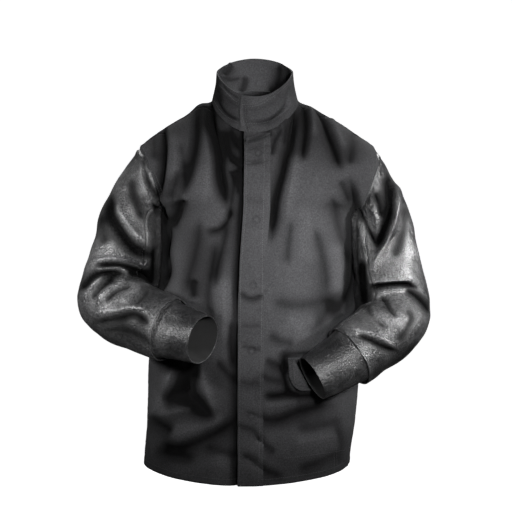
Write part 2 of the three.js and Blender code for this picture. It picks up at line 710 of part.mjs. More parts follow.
// A closed wall between the outer grid and the grid a wall's thickness inside it.
function wallGeometry(each) {
  const edge = drawnBack(each);
  const layer = (depth) =>
    edge.map((row, i) =>
      row.map((point, j) => {
        const sunk = each.sink(each.grid[i][j], j) + depth;
        return point.clone().addScaledVector(each.normals[i][j], -sunk);
      }),
    );
  const outer = layer(0);
  const inner = layer(each.wall);
  const coordinates = [];
  const add = (a, b, c) => {
    const corners = each.turn > 0 ? [a, b, c] : [c, b, a];
    for (const corner of corners) coordinates.push(corner.x, corner.y, corner.z);
  };
  for (const [a, b, c] of cellTriangles(each.grid, each.closed)) {
    add(outer[a[0]][a[1]], outer[b[0]][b[1]], outer[c[0]][c[1]]);
    add(inner[c[0]][c[1]], inner[b[0]][b[1]], inner[a[0]][a[1]]);
  }
  const rim = (i1, j1, i2, j2) => {
    add(outer[i2][j2], outer[i1][j1], inner[i1][j1]);
    add(outer[i2][j2], inner[i1][j1], inner[i2][j2]);
  };
  const lastRow = each.grid.length - 1;
  const width = each.grid[0].length;
  for (let j = 0; j < (each.closed ? width : width - 1); j += 1) {
    const right = (j + 1) % width;
    rim(0, j, 0, right);
    rim(lastRow, right, lastRow, j);
  }
  if (!each.closed) {
    for (let i = 0; i < lastRow; i += 1) {
      rim(i + 1, 0, i, 0);
      rim(i, width - 1, i + 1, width - 1);
    }
  }
  const geometry = new THREE.BufferGeometry();
  geometry.setAttribute('position', new THREE.Float32BufferAttribute(coordinates, 3));
  geometry.computeVertexNormals();
  return geometry;
}

// The creased front at a share s and place v, raised by a height above it.
function raisedPoint(s, v, height) {
  const point = creasedPoint(FRONT, s, v);
  return point.addScaledVector(bodyNormal(FRONT, s, v), height);
}

// The placket: a doubled strip over the edges of both fronts, from neckline to hem.
function placketGrid() {
  const across = 3;
  return rowPlaces.map((v, i) => {
    const last = i === rowPlaces.length - 1;
    const place = last ? mix(v, rowPlaces[i - 1], 0.12) : v;
    const row = [];
    for (let j = 0; j <= across; j += 1) {
      const x = mix(-placketLap, placketWidth - placketLap, j / across);
      row.push(raisedPoint(shareAt(x, place), place, trimGap + clothWall));
    }
    return row;
  });
}

// The pocket flap: a rectangle with cut lower corners, laid on the left front.
function flapGrid() {
  const across = 7;
  const down = 3;
  const place = (drop) => {
    let low = 0;
    let high = armpitKey;
    for (let i = 0; i < 30; i += 1) {
      const middle = (low + high) / 2;
      if (bodyPoint(FRONT, shareAt(flapInset, middle), middle).z < -drop) low = middle;
      else high = middle;
    }
    return (low + high) / 2;
  };
  const rows = [];
  for (let i = down; i >= 0; i -= 1) {
    const v = place(flapDrop + (flapHeight * i) / down);
    const cut = i === down ? flapCorner : 0;
    const start = shareAt(flapInset, v);
    const row = [];
    let s = start;
    let run = 0;
    const fine = 0.002;
    let previous = creasedPoint(FRONT, s, v);
    for (let j = 0; j <= across; j += 1) {
      const target = mix(cut, flapWidth - cut, j / across);
      while (run < target) {
        s += fine;
        const next = creasedPoint(FRONT, s, v);
        run += next.distanceTo(previous);
        previous = next;
      }
      row.push(raisedPoint(s, v, trimGap + clothWall));
    }
    rows.push(row);
  }
  return rows;
}
const trims = [
  clothPanel('placket', placketGrid()),
  clothPanel('pocket_flap', flapGrid()),
];
for (const trim of trims) shareNormals([trim]);

const jacket = new THREE.Group();
for (const each of [...panels, ...trims]) {
  const mesh = new THREE.Mesh(wallGeometry(each), each.finish);
  mesh.name = each.name;
  jacket.add(mesh);
}

export default jacket;
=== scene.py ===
# %% [markdown]
# # A welding jacket with leather sleeves
# The jacket has a charcoal cotton drill body and black leather sleeves. It stands filled out, as on
# an unseen form, closed to the neck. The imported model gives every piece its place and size. Here
# each plain wall is copied and given its folds, seams, stitches, cloth and leather.

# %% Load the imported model
import json
import math

import bmesh
import bpy
import numpy as np
from mathutils import Matrix, Vector, noise
from mathutils.bvhtree import BVHTree
from mathutils.kdtree import KDTree

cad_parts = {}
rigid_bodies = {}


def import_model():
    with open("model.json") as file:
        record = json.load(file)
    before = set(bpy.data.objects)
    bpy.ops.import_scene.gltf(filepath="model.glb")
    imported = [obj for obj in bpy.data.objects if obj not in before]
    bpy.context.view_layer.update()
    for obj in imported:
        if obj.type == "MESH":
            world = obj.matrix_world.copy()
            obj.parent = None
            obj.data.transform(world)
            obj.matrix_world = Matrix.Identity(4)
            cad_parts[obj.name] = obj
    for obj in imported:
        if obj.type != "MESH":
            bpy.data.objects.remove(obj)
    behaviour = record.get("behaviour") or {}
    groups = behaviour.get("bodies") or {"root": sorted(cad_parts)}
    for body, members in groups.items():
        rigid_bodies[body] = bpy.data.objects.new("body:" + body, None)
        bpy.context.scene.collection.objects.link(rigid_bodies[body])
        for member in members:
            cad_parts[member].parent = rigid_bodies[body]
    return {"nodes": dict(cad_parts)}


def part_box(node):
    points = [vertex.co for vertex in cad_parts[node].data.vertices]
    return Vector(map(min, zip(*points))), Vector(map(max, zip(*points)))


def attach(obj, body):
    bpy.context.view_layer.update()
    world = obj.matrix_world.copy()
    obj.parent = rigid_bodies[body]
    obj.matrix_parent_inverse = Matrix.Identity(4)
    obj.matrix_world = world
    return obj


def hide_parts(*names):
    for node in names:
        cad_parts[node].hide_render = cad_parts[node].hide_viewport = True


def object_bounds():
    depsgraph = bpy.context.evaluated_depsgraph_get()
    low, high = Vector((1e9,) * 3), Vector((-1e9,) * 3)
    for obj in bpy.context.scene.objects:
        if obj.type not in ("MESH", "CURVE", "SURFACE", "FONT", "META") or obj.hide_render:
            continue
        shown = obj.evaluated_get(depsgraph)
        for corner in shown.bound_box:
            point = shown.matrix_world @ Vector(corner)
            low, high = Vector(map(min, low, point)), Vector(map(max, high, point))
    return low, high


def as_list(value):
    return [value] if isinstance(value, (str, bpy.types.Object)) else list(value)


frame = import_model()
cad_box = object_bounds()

print("nodes:", len(frame["nodes"]), "box:", [round(v, 3) for v in (*cad_box[0], *cad_box[1])])

# %% [markdown]
# ## The camera
# The photograph is taken from straight in front, slightly above the chest, with a long lens. A
# point of the picture is then a line into the scene, which later cells use to lay each fold where
# the photograph shows it.

# %% Set up the camera
PICTURE = 512
LENS = 105.47
SENSOR = 36.0
DISTANCE = 3.0
DROP = math.radians(4)
LOOK_AT = np.array((0.006, 0.0, -0.296))
BACKWARD = np.array((0.0, -math.cos(DROP), math.sin(DROP)))
UPWARD = np.array((0.0, math.sin(DROP), math.cos(DROP)))
FOCAL = PICTURE * LENS / SENSOR


def make_camera():
    data = bpy.data.cameras.new("front_camera")
    data.lens = LENS
    data.sensor_width = SENSOR
    camera = bpy.data.objects.new("front_camera", data)
    camera.location = LOOK_AT + BACKWARD * DISTANCE
    camera.rotation_euler = (math.pi / 2 - DROP, 0, 0)
    bpy.context.scene.collection.objects.link(camera)
    bpy.context.scene.camera = camera
    return camera


def in_picture(points, rear=False):
    """The picture place of each point, from the front or from as far behind."""
    away = np.array(points, dtype=float) - LOOK_AT
    if rear:
        away = away * (-1, -1, 1)
    along = DISTANCE - away @ BACKWARD
    across = PICTURE / 2 + FOCAL * away[:, 0] / along
    down = PICTURE / 2 - FOCAL * (away @ UPWARD) / along
    return np.stack((across, down), axis=1)


def line_of_sight(spot, rear=False):
    """Where the view line of a picture place starts, and its direction."""
    start = BACKWARD * DISTANCE
    course = (spot[0] - PICTURE / 2) * np.array((1.0, 0, 0)) + (PICTURE / 2 - spot[1]) * UPWARD
    course = course - FOCAL * BACKWARD
    if rear:
        start = start * (-1, -1, 1)
        course = course * (-1, -1, 1)
    return Vector(start + LOOK_AT), Vector(course).normalized()


camera = make_camera()
print("camera at", [round(v, 3) for v in camera.location])

# %% [markdown]
# ## The studio
# Black leather shows its form by its highlights alone. One lamp stands in front, a lamp on each
# side draws bright lips on the folds of the sleeves, and two high ones open up the back. A floor
# that curves up into a wall gives a white backdrop without a corner, all the way round. The paper
# glows by itself, and is kept out of the light that falls on the jacket, so that the folds keep
# their depth.

# %% Build the floor and the lamps
STUDIO_OUTLINE = (
    # metres from the upright axis, height
    (0.0, -0.95),
    (3.8, -0.95),
    (4.5, -0.8),
    (5.0, -0.3),
    (5.2, 0.5),
    (5.2, 3.5),
    (4.0, 5.0),
    (0.0, 5.5),
)
STUDIO_STEPS = 32
STUDIO_GLOW = 1.0
AIR_GLOW = 0.05
LAMPS = (
    # name, place, aim, width, power, spread in degrees
    ("front_lamp", (0.34, -1.56, -0.06), (0.03, -0.1, -0.24), 0.2, 3.4, 40),
    ("left_sleeve_lamp", (-1.25, -0.75, 0.1), (-0.3, -0.05, -0.3), 0.16, 1.75, 34),
    ("right_sleeve_lamp", (1.3, -0.6, 0.15), (0.33, -0.05, -0.3), 0.16, 2.5, 34),
    ("collar_lamp", (0.4, -0.65, 0.8), (-0.01, 0.07, 0.03), 0.12, 0.26, 16),
    ("right_rear_lamp", (0.5, 1.5, 1.3), (0.0, 0.1, -0.3), 0.8, 5.0, 50),
    ("left_rear_lamp", (-0.6, 1.5, 1.2), (-0.05, 0.1, -0.3), 0.8, 1.6, 50),
)


def plain_material(name, colour, roughness, glow=0.0):
    material = bpy.data.materials.new(name)
    material.use_nodes = True
    shader = material.node_tree.nodes["Principled BSDF"]
    shader.inputs["Base Color"].default_value = (*colour, 1)
    shader.inputs["Roughness"].default_value = roughness
    shader.inputs["Emission Color"].default_value = (1, 1, 1, 1)
    shader.inputs["Emission Strength"].default_value = glow
    return material


def make_floor():
    """Turn the outline of the floor, the curved wall and the ceiling about the upright axis."""
    sheet = bmesh.new()
    outline = [sheet.verts.new((across, 0, up)) for across, up in STUDIO_OUTLINE]
    edges = [sheet.edges.new(pair) for pair in zip(outline, outline[1:])]
    turned = {"steps": STUDIO_STEPS, "angle": math.tau, "axis": (0, 0, 1), "cent": (0, 0, 0)}
    bmesh.ops.spin(sheet, geom=outline + edges, dvec=(0, 0, 0), use_merge=True, **turned)
    bmesh.ops.remove_doubles(sheet, verts=sheet.verts, dist=0.001)
    bmesh.ops.recalc_face_normals(sheet, faces=sheet.faces)
    mesh = bpy.data.meshes.new("pale_floor")
    sheet.to_mesh(mesh)
    sheet.free()
    mesh.materials.append(plain_material("pale_paper", (0.8, 0.8, 0.8), 0.9, STUDIO_GLOW))
    floor = bpy.data.objects.new("pale_floor", mesh)
    bpy.context.scene.collection.objects.link(floor)
    floor.visible_diffuse = False
    floor.visible_glossy = False
    floor.visible_shadow = False


def make_lamp(name, place, aim, width, power, spread):
    data = bpy.data.lights.new(name, "AREA")
    data.shape = "DISK"
    data.size = width
    data.energy = power
    data.spread = math.radians(spread)
    lamp = bpy.data.objects.new(name, data)
    lamp.location = place
    lamp.rotation_euler = (Vector(aim) - Vector(place)).to_track_quat("-Z", "Y").to_euler()
    bpy.context.scene.collection.objects.link(lamp)


make_floor()
for lamp in LAMPS:
    make_lamp(*lamp)
world = bpy.data.worlds.new("studio_air")
world.use_nodes = True
world.node_tree.nodes["Background"].inputs["Color"].default_value = (1, 1, 1, 1)
world.node_tree.nodes["Background"].inputs["Strength"].default_value = AIR_GLOW
bpy.context.scene.world = world
bpy.context.scene.view_settings.view_transform = "Standard"
print("lamps:", len(LAMPS))

# %% [markdown]
# ## Cotton drill and leather
# Drill is a firm twill: fine slanted ribs, a matt face and a slight bloom of loose fibre. Leather
# is a skin with a pebble grain and a half gloss. On both, folds are painted darker, as painted
# shade, and ridges paler, as painted light, by how deep each point lies in a fold, which a later
# cell keeps on the mesh. A few small helpers make the nodes that both materials share.


# %% Helpers for the materials
def node_maker(material):
    tree = material.node_tree

    def make(kind, links=(), **values):
        node = tree.nodes.new(kind)
        for key, value in values.items():
            if key in node.inputs.keys():
                node.inputs[key].default_value = value
            else:
                setattr(node, key, value)
        for socket, source in dict(links).items():
            tree.links.new(source, node.inputs[socket])
        return node

    return tree, make


def ramp_between(make, source, low, high, dark, light):
    """A tone from dark to light. Each is a grey, or a colour of three numbers."""
    ramp = make("ShaderNodeValToRGB", {"Fac": source})
    for mark, place, tone in zip(ramp.color_ramp.elements, (low, high), (dark, light)):
        mark.position = place
        mark.color = (*tone, 1) if isinstance(tone, tuple) else (tone, tone, tone, 1)
    return ramp.outputs[0]


def times(make, first, second):
    """One colour multiplied by another."""
    kind = {"data_type": "RGBA", "blend_type": "MULTIPLY", "Factor": 1.0}
    return make("ShaderNodeMix", {6: first, 7: second}, **kind).outputs[2]


def noise_at(make, place, scale, detail):
    return make("ShaderNodeTexNoise", {"Vector": place}, Scale=scale, Detail=detail).outputs[0]


def bumps(make, layers):
    """Bumps one on the other, the broadest first. Each has a height, strength and distance."""
    normal = None
    for height, strength, distance in layers:
        links = {"Height": height} if normal is None else {"Height": height, "Normal": normal}
        normal = make("ShaderNodeBump", links, Strength=strength, Distance=distance).outputs[0]
    return normal


def shade_by_fold(make, colour, stops):
    """The colour, paler on ridges and darker in folds by the fold tone: painted light and painted shade
    where it feeds a colour. Each stop has a depth and a tone.
    """
    low, high = stops[0][0], stops[-1][0]
    fold = make("ShaderNodeAttribute", attribute_name="fold")
    span = make("ShaderNodeMapRange", {"Value": fold.outputs["Fac"]})
    span.inputs["From Min"].default_value = low
    span.inputs["From Max"].default_value = high
    ramp = make("ShaderNodeValToRGB", {"Fac": span.outputs[0]})
    marks = ramp.color_ramp.elements
    while len(marks) < len(stops):
        marks.new(0.5)
    for mark, (depth, tone) in zip(marks, stops):
        mark.position = (depth - low) / (high - low)
        mark.color = (tone, tone, tone, 1)
    return times(make, colour, ramp.outputs[0])


# %% [markdown]
# ### Cotton drill
# The ribs run on the cloth's own map, so they hang with the panel. Yarns of uneven thickness, loose
# flecks and broad patches of shade break up the charcoal, as on cloth that has been worn.

# %% Make the cotton drill
# Painted shade in the folds and painted light on the ridges of the cotton, by fold depth.
FOLD_SHADE = ((-8.0, 0.07), (-3.0, 0.5), (0.0, 1.0), (3.0, 1.3))
TWILL_SLANT = math.radians(62)


def cotton_drill():
    material = bpy.data.materials.new("charcoal_cotton_drill")
    material.use_nodes = True
    tree, make = node_maker(material)
    shader = tree.nodes["Principled BSDF"]
    here = make("ShaderNodeTexCoord").outputs["Object"]
    cloth = make("ShaderNodeUVMap", uv_map="weave").outputs[0]
    slanted = make("ShaderNodeMapping", {"Vector": cloth}, Rotation=(0, 0, TWILL_SLANT)).outputs[0]
    ribs = {"Scale": 330.0, "Distortion": 1.2, "Detail": 2.0}
    rib = make("ShaderNodeTexWave", {"Vector": slanted}, **ribs).outputs[1]
    drawn_out = make("ShaderNodeMapping", {"Vector": cloth}, Scale=(1500, 260, 1)).outputs[0]
    yarn = noise_at(make, drawn_out, 1.0, 3.0)
    fleck = noise_at(make, here, 420.0, 2.0)
    shade = noise_at(make, here, 9.0, 4.0)
    base = ramp_between(make, shade, 0.3, 0.72, (0.0195, 0.0195, 0.0203), (0.029, 0.029, 0.0302))
    worn = ramp_between(make, yarn, 0.3, 0.75, (0.78, 0.78, 0.78), (1.2, 1.2, 1.21))
    speck = ramp_between(make, fleck, 0.35, 0.75, 0.75, 1.35)
    colour = times(make, times(make, base, worn), speck)
    # The colour takes the painted shade of the folds and the painted light of the ridges.
    tree.links.new(shade_by_fold(make, colour, FOLD_SHADE), shader.inputs["Base Color"])
    shader.inputs["Roughness"].default_value = 0.86
    shader.inputs["Specular IOR Level"].default_value = 0.04
    shader.inputs["Sheen Weight"].default_value = 0.01
    shader.inputs["Sheen Roughness"].default_value = 0.45
    soft = noise_at(make, here, 85.0, 3.0)
    relief = bumps(make, ((soft, 0.25, 0.0012), (fleck, 0.3, 0.0004), (rib, 0.35, 0.0003)))
    tree.links.new(relief, shader.inputs["Normal"])
    return material


# %% [markdown]
# ### Grained leather
# The grain is a field of small cells whose places are shaken a little, so that no row shows, with
# fine cracks and a soft crumple below. The gloss changes from patch to patch. It is sharpest on the
# ridges, where the finish is polished by wear, and rougher in the bottoms of the folds. There the
# reflection is also thinned through its tint, as painted shade, and the colour is painted darker in
# the folds and paler on the ridges, as painted shade and painted light. Inside a cuff the leather
# is a matt, near-black sheet, as painted shade.

# %% Make the leather
# Painted shade in the folds and painted light on the ridges of the leather's colour.
LEATHER_SHADE = ((-6.0, 0.05), (-2.0, 0.35), (0.0, 1.0), (3.5, 2.0))
# Painted shade in the reflection: its tint is dimmed in the folds.
PAINTED_REFLECTION_SHADE = ((-5.0, 0.04), (-2.0, 0.4), (0.0, 1.0), (2.5, 1.0))
ROUGH_BY_FOLD = ((-6.0, 3.0), (-2.0, 2.0), (0.0, 1.0), (3.5, 0.85))
GRAIN_SHAKE = 0.006


def grained_leather():
    material = bpy.data.materials.new("black_grained_leather")
    material.use_nodes = True
    tree, make = node_maker(material)
    shader = tree.nodes["Principled BSDF"]
    here = make("ShaderNodeTexCoord").outputs["Object"]
    warp = make("ShaderNodeTexNoise", {"Vector": here}, Scale=60.0, Detail=2.0).outputs["Color"]
    small = make("ShaderNodeVectorMath", {0: warp}, operation="SCALE")
    small.inputs["Scale"].default_value = GRAIN_SHAKE
    shaken = make("ShaderNodeVectorMath", {0: here, 1: small.outputs[0]}, operation="ADD").outputs[0]
    pebble = make("ShaderNodeTexVoronoi", {"Vector": shaken}, Scale=330.0).outputs[0]
    crack = noise_at(make, shaken, 300.0, 3.0)
    crumple = noise_at(make, here, 62.0, 4.0)
    shade = noise_at(make, here, 14.0, 4.0)
    patch = noise_at(make, here, 24.0, 2.0)
    base = ramp_between(make, shade, 0.36, 0.66, (0.006, 0.006, 0.0064), (0.034, 0.034, 0.0346))
    colour = times(make, base, ramp_between(make, crack, 0.36, 0.64, 0.4, 1.7))
    gloss = ramp_between(make, crack, 0.3, 0.7, 0.3, 0.44)
    burnish = ramp_between(make, patch, 0.38, 0.62, 0.68, 1.0)
    # The colour takes the painted shade of the folds and the painted light of the ridges.
    tree.links.new(shade_by_fold(make, colour, LEATHER_SHADE), shader.inputs["Base Color"])
    tree.links.new(shade_by_fold(make, gloss, ROUGH_BY_FOLD), shader.inputs["Roughness"])
    # The reflection's tint is dimmed in the folds, as painted shade; its patches vary at random.
    tree.links.new(shade_by_fold(make, burnish, PAINTED_REFLECTION_SHADE), shader.inputs["Specular Tint"])
    shader.inputs["Specular IOR Level"].default_value = 0.5
    relief = bumps(make, ((crumple, 0.4, 0.003), (crack, 0.8, 0.0018), (pebble, 0.5, 0.0009)))
    tree.links.new(relief, shader.inputs["Normal"])
    return material


COTTON = cotton_drill()
LEATHER = grained_leather()
# A matt, near-black sheet for the inside of the cuffs, as painted shade.
CUFF_INSIDE_SHADE = plain_material("cuff_inside_painted_shade", (0.002, 0.002, 0.002), 0.95)
THREAD = plain_material("waxed_thread", (0.021, 0.021, 0.022), 0.7)
print("materials:", [m.name for m in (COTTON, LEATHER, CUFF_INSIDE_SHADE, THREAD)])

# %% [markdown]
# ## One skin from seven panels
# Sewn panels share their edges, so the folds run on from panel to panel. The outside of each
# plain wall is copied, its triangles are paired into four-sided faces, and the seven sheets are
# joined at the seams. Every face keeps the number of its panel.

# %% Join the panels
PANELS = (
    "front_right",
    "front_left",
    "back",
    "sleeve_right_outer",
    "sleeve_right_inner",
    "sleeve_left_outer",
    "sleeve_left_inner",
)
RIM = 0.0037
SEAM_REACH = 0.0009
PAIRING = math.radians(40)


def outer_skin(node):
    """The outside of a plain wall, as a sheet of four-sided faces."""
    sheet = bmesh.new()
    sheet.from_mesh(frame["nodes"][node].data)
    bmesh.ops.remove_doubles(sheet, verts=sheet.verts, dist=0.00005)
    rims = [f for f in sheet.faces if min(e.calc_length() for e in f.edges) < RIM]
    bmesh.ops.delete(sheet, geom=rims, context="FACES")
    left = set(sheet.faces)
    sides = []
    while left:
        side = [left.pop()]
        for face in side:
            near = {other for edge in face.edges for other in edge.link_faces} & left
            left -= near
            side.extend(near)
        sides.append(side)
    sides.sort(key=lambda side: sum(f.calc_area() for f in side))
    inside = [f for side in sides[:-1] for f in side]
    bmesh.ops.delete(sheet, geom=inside, context="FACES")
    triangles = len(sheet.faces)
    bmesh.ops.join_triangles(
        sheet, faces=sheet.faces, angle_face_threshold=PAIRING, angle_shape_threshold=PAIRING
    )
    print(node, "sides:", len(sides), "triangles:", triangles, "faces:", len(sheet.faces))
    return sheet


def joined_skin():
    whole = bmesh.new()
    for number, node in enumerate(PANELS):
        sheet = outer_skin(node)
        for face in sheet.faces:
            face.material_index = number
            face.smooth = True
        mesh = bpy.data.meshes.new(node + "_plain")
        sheet.to_mesh(mesh)
        sheet.free()
        whole.from_mesh(mesh)
        bpy.data.meshes.remove(mesh)
    bmesh.ops.remove_doubles(whole, verts=whole.verts, dist=SEAM_REACH)
    return whole


def refined(sheet, levels):
    """The same sheet, rounded and divided by Subdivision Surface."""
    mesh = bpy.data.meshes.new("plain_sheet")
    sheet.to_mesh(mesh)
    shape = bpy.data.objects.new("plain_sheet", mesh)
    bpy.context.scene.collection.objects.link(shape)
    rounding = shape.modifiers.new("rounding", "SUBSURF")
    rounding.levels = levels
    rounding.render_levels = levels
    rounding.boundary_smooth = "PRESERVE_CORNERS"
    bpy.context.view_layer.update()
    view = bpy.context.evaluated_depsgraph_get()
    fine = bmesh.new()
    fine.from_mesh(shape.evaluated_get(view).to_mesh())
    shape.evaluated_get(view).to_mesh_clear()
    bpy.data.objects.remove(shape)
    bpy.data.meshes.remove(mesh)
    fine.normal_update()
    return fine


skin = joined_skin()
open_edges = sum(len(e.link_faces) == 1 for e in skin.edges)
odd_edges = sum(len(e.link_faces) > 2 for e in skin.edges)
print("skin faces:", len(skin.faces), "open edges:", open_edges, "odd edges:", odd_edges)

# %% [markdown]
# ## Folds as strokes
# Cloth and leather that hang and bend show a few kinds of fold: a valley with a soft roll on one
# side, a raised ridge, and a tight pleat. A sculptor would press them in one by one. Each stroke
# below is such a press: its depth in millimetres, its widths in picture points on its two hands,
# the height of the roll beside it, and its path in the picture. Paths run downward or to the right,
# so the first width is on the picture's right of a falling path, and above a level one.

# Each stroke, widened, also adds to a fold tone on the mesh, which the materials turn into painted
# shade in the folds and painted light on the ridges. Some strokes are there mostly for that painted
# shade.
# %% Stroke tools
MM = 0.001
STROKE_STEP = 3.0
END_SHARE = 0.22  # of the path, over which a fold fades in and out
SHADE_REACH = 1.35
FOLD_REACH = 4  # widths
FOLD_CURVE = 1.25
ROLL_PLACE = 2.1  # widths from the path
ROLL_WIDTH = 0.62  # of that distance


def smooth_step(value, low, high):
    share = np.clip((value - low) / (high - low), 0, 1)
    return share * share * (3 - 2 * share)


def curved_path(corners):
    """A path through its corners, in even steps."""
    corners = [np.array(c, dtype=float) for c in corners]
    ends = [2 * corners[0] - corners[1], *corners, 2 * corners[-1] - corners[-2]]
    path = [corners[0]]
    for before, start, stop, after in zip(ends, ends[1:], ends[2:], ends[3:]):
        steps = max(1, round(float(np.linalg.norm(stop - start)) / STROKE_STEP))
        for step in range(1, steps + 1):
            t = step / steps
            bend = 2 * start + (stop - before) * t + (2 * before - 5 * start + 4 * stop - after) * t**2
            path.append((bend + (3 * start - before - 3 * stop + after) * t**3) / 2)
    return np.array(path)


def beside_path(spots, path):
    """For each spot its signed distance from the path, and its share of the way along."""
    best = np.full(len(spots), 1e9)
    side = np.zeros(len(spots))
    share = np.zeros(len(spots))
    lengths = np.linalg.norm(np.diff(path, axis=0), axis=1)
    gone, total = 0.0, lengths.sum()
    for start, stop, length in zip(path, path[1:], lengths):
        course = (stop - start) / length
        away = spots - start
        along = np.clip(away @ course, 0, length)
        foot = away - along[:, None] * course
        apart = np.linalg.norm(foot, axis=1)
        hand = np.sign(away[:, 0] * course[1] - away[:, 1] * course[0])
        nearer = apart < best
        best[nearer] = apart[nearer]
        side[nearer] = hand[nearer]
        share[nearer] = (gone + along[nearer]) / total
        gone += length
    return best * np.where(side < 0, -1, 1), share


def stroke_lift(spots, stroke):
    """How far one stroke lifts each spot of the picture, in millimetres."""
    amount, first, second, roll, corners = stroke
    path = curved_path(corners)
    reach = FOLD_REACH * max(first, second)
    lift = np.zeros(len(spots))
    near = np.all((spots > path.min(0) - reach) & (spots < path.max(0) + reach), axis=1)
    if not near.any():
        return lift
    apart, share = beside_path(spots[near], path)
    width = np.where(apart > 0, first, second)
    press = amount * np.exp(-(np.abs(apart / width) ** FOLD_CURVE))
    hand = 1 if roll > 0 else -1
    beside = (first if roll > 0 else second) * ROLL_PLACE
    press += abs(roll) * np.exp(-(((apart * hand - beside) / (ROLL_WIDTH * beside)) ** 2))
    fade = smooth_step(share, 0, END_SHARE) * smooth_step(1 - share, 0, END_SHARE)
    far = np.abs(apart) > reach
    press[far] = 0
    lift[near] = press * fade
    return lift


def widened(stroke):
    """The same stroke, wider: the painted shade about a fold reaches past the fold itself."""
    amount, first, second, roll, path = stroke
    return amount, first * SHADE_REACH, second * SHADE_REACH, 0, path


def press_folds(sheet, panels, strokes, rear=False, share=1.0):
    """Press the strokes into those panels of the skin that face the camera."""
    if not sheet.verts.layers.float.get("fold"):
        sheet.verts.layers.float.new("fold")
    verts = [v for v in sheet.verts if any(f.material_index in panels for f in v.link_faces)]
    points = np.array([v.co for v in verts])
    outward = np.array([v.normal for v in verts])
    spots = in_picture(points, rear)
    toward = BACKWARD * ((-1, -1, 1) if rear else (1, 1, 1))
    facing = smooth_step(outward @ toward, -0.05, 0.35)
    lift = sum(stroke_lift(spots, stroke) for stroke in strokes) * facing * share * MM
    # The widened strokes build the fold tone: painted shade where it is low, painted light where it is
    # high.
    shade = sum(stroke_lift(spots, widened(stroke)) for stroke in strokes) * facing * share
    depth = sheet.verts.layers.float["fold"]
    for vert, point, way, height, tone in zip(verts, points, outward, lift, shade):
        vert.co = point + way * height
        vert[depth] += tone
    low, high = round(lift.min() / MM, 1), round(lift.max() / MM, 1)
    print("strokes:", len(strokes), "deepest:", low, "highest:", high)


# %% [markdown]
# ## The folds of the body
# On the wearer's right front, the chest cloth falls from the neck and the shoulder in long folds
# toward the waist, and breaks above the hem. On the left front one broad diagonal fold leads from
# the collar to the placket.

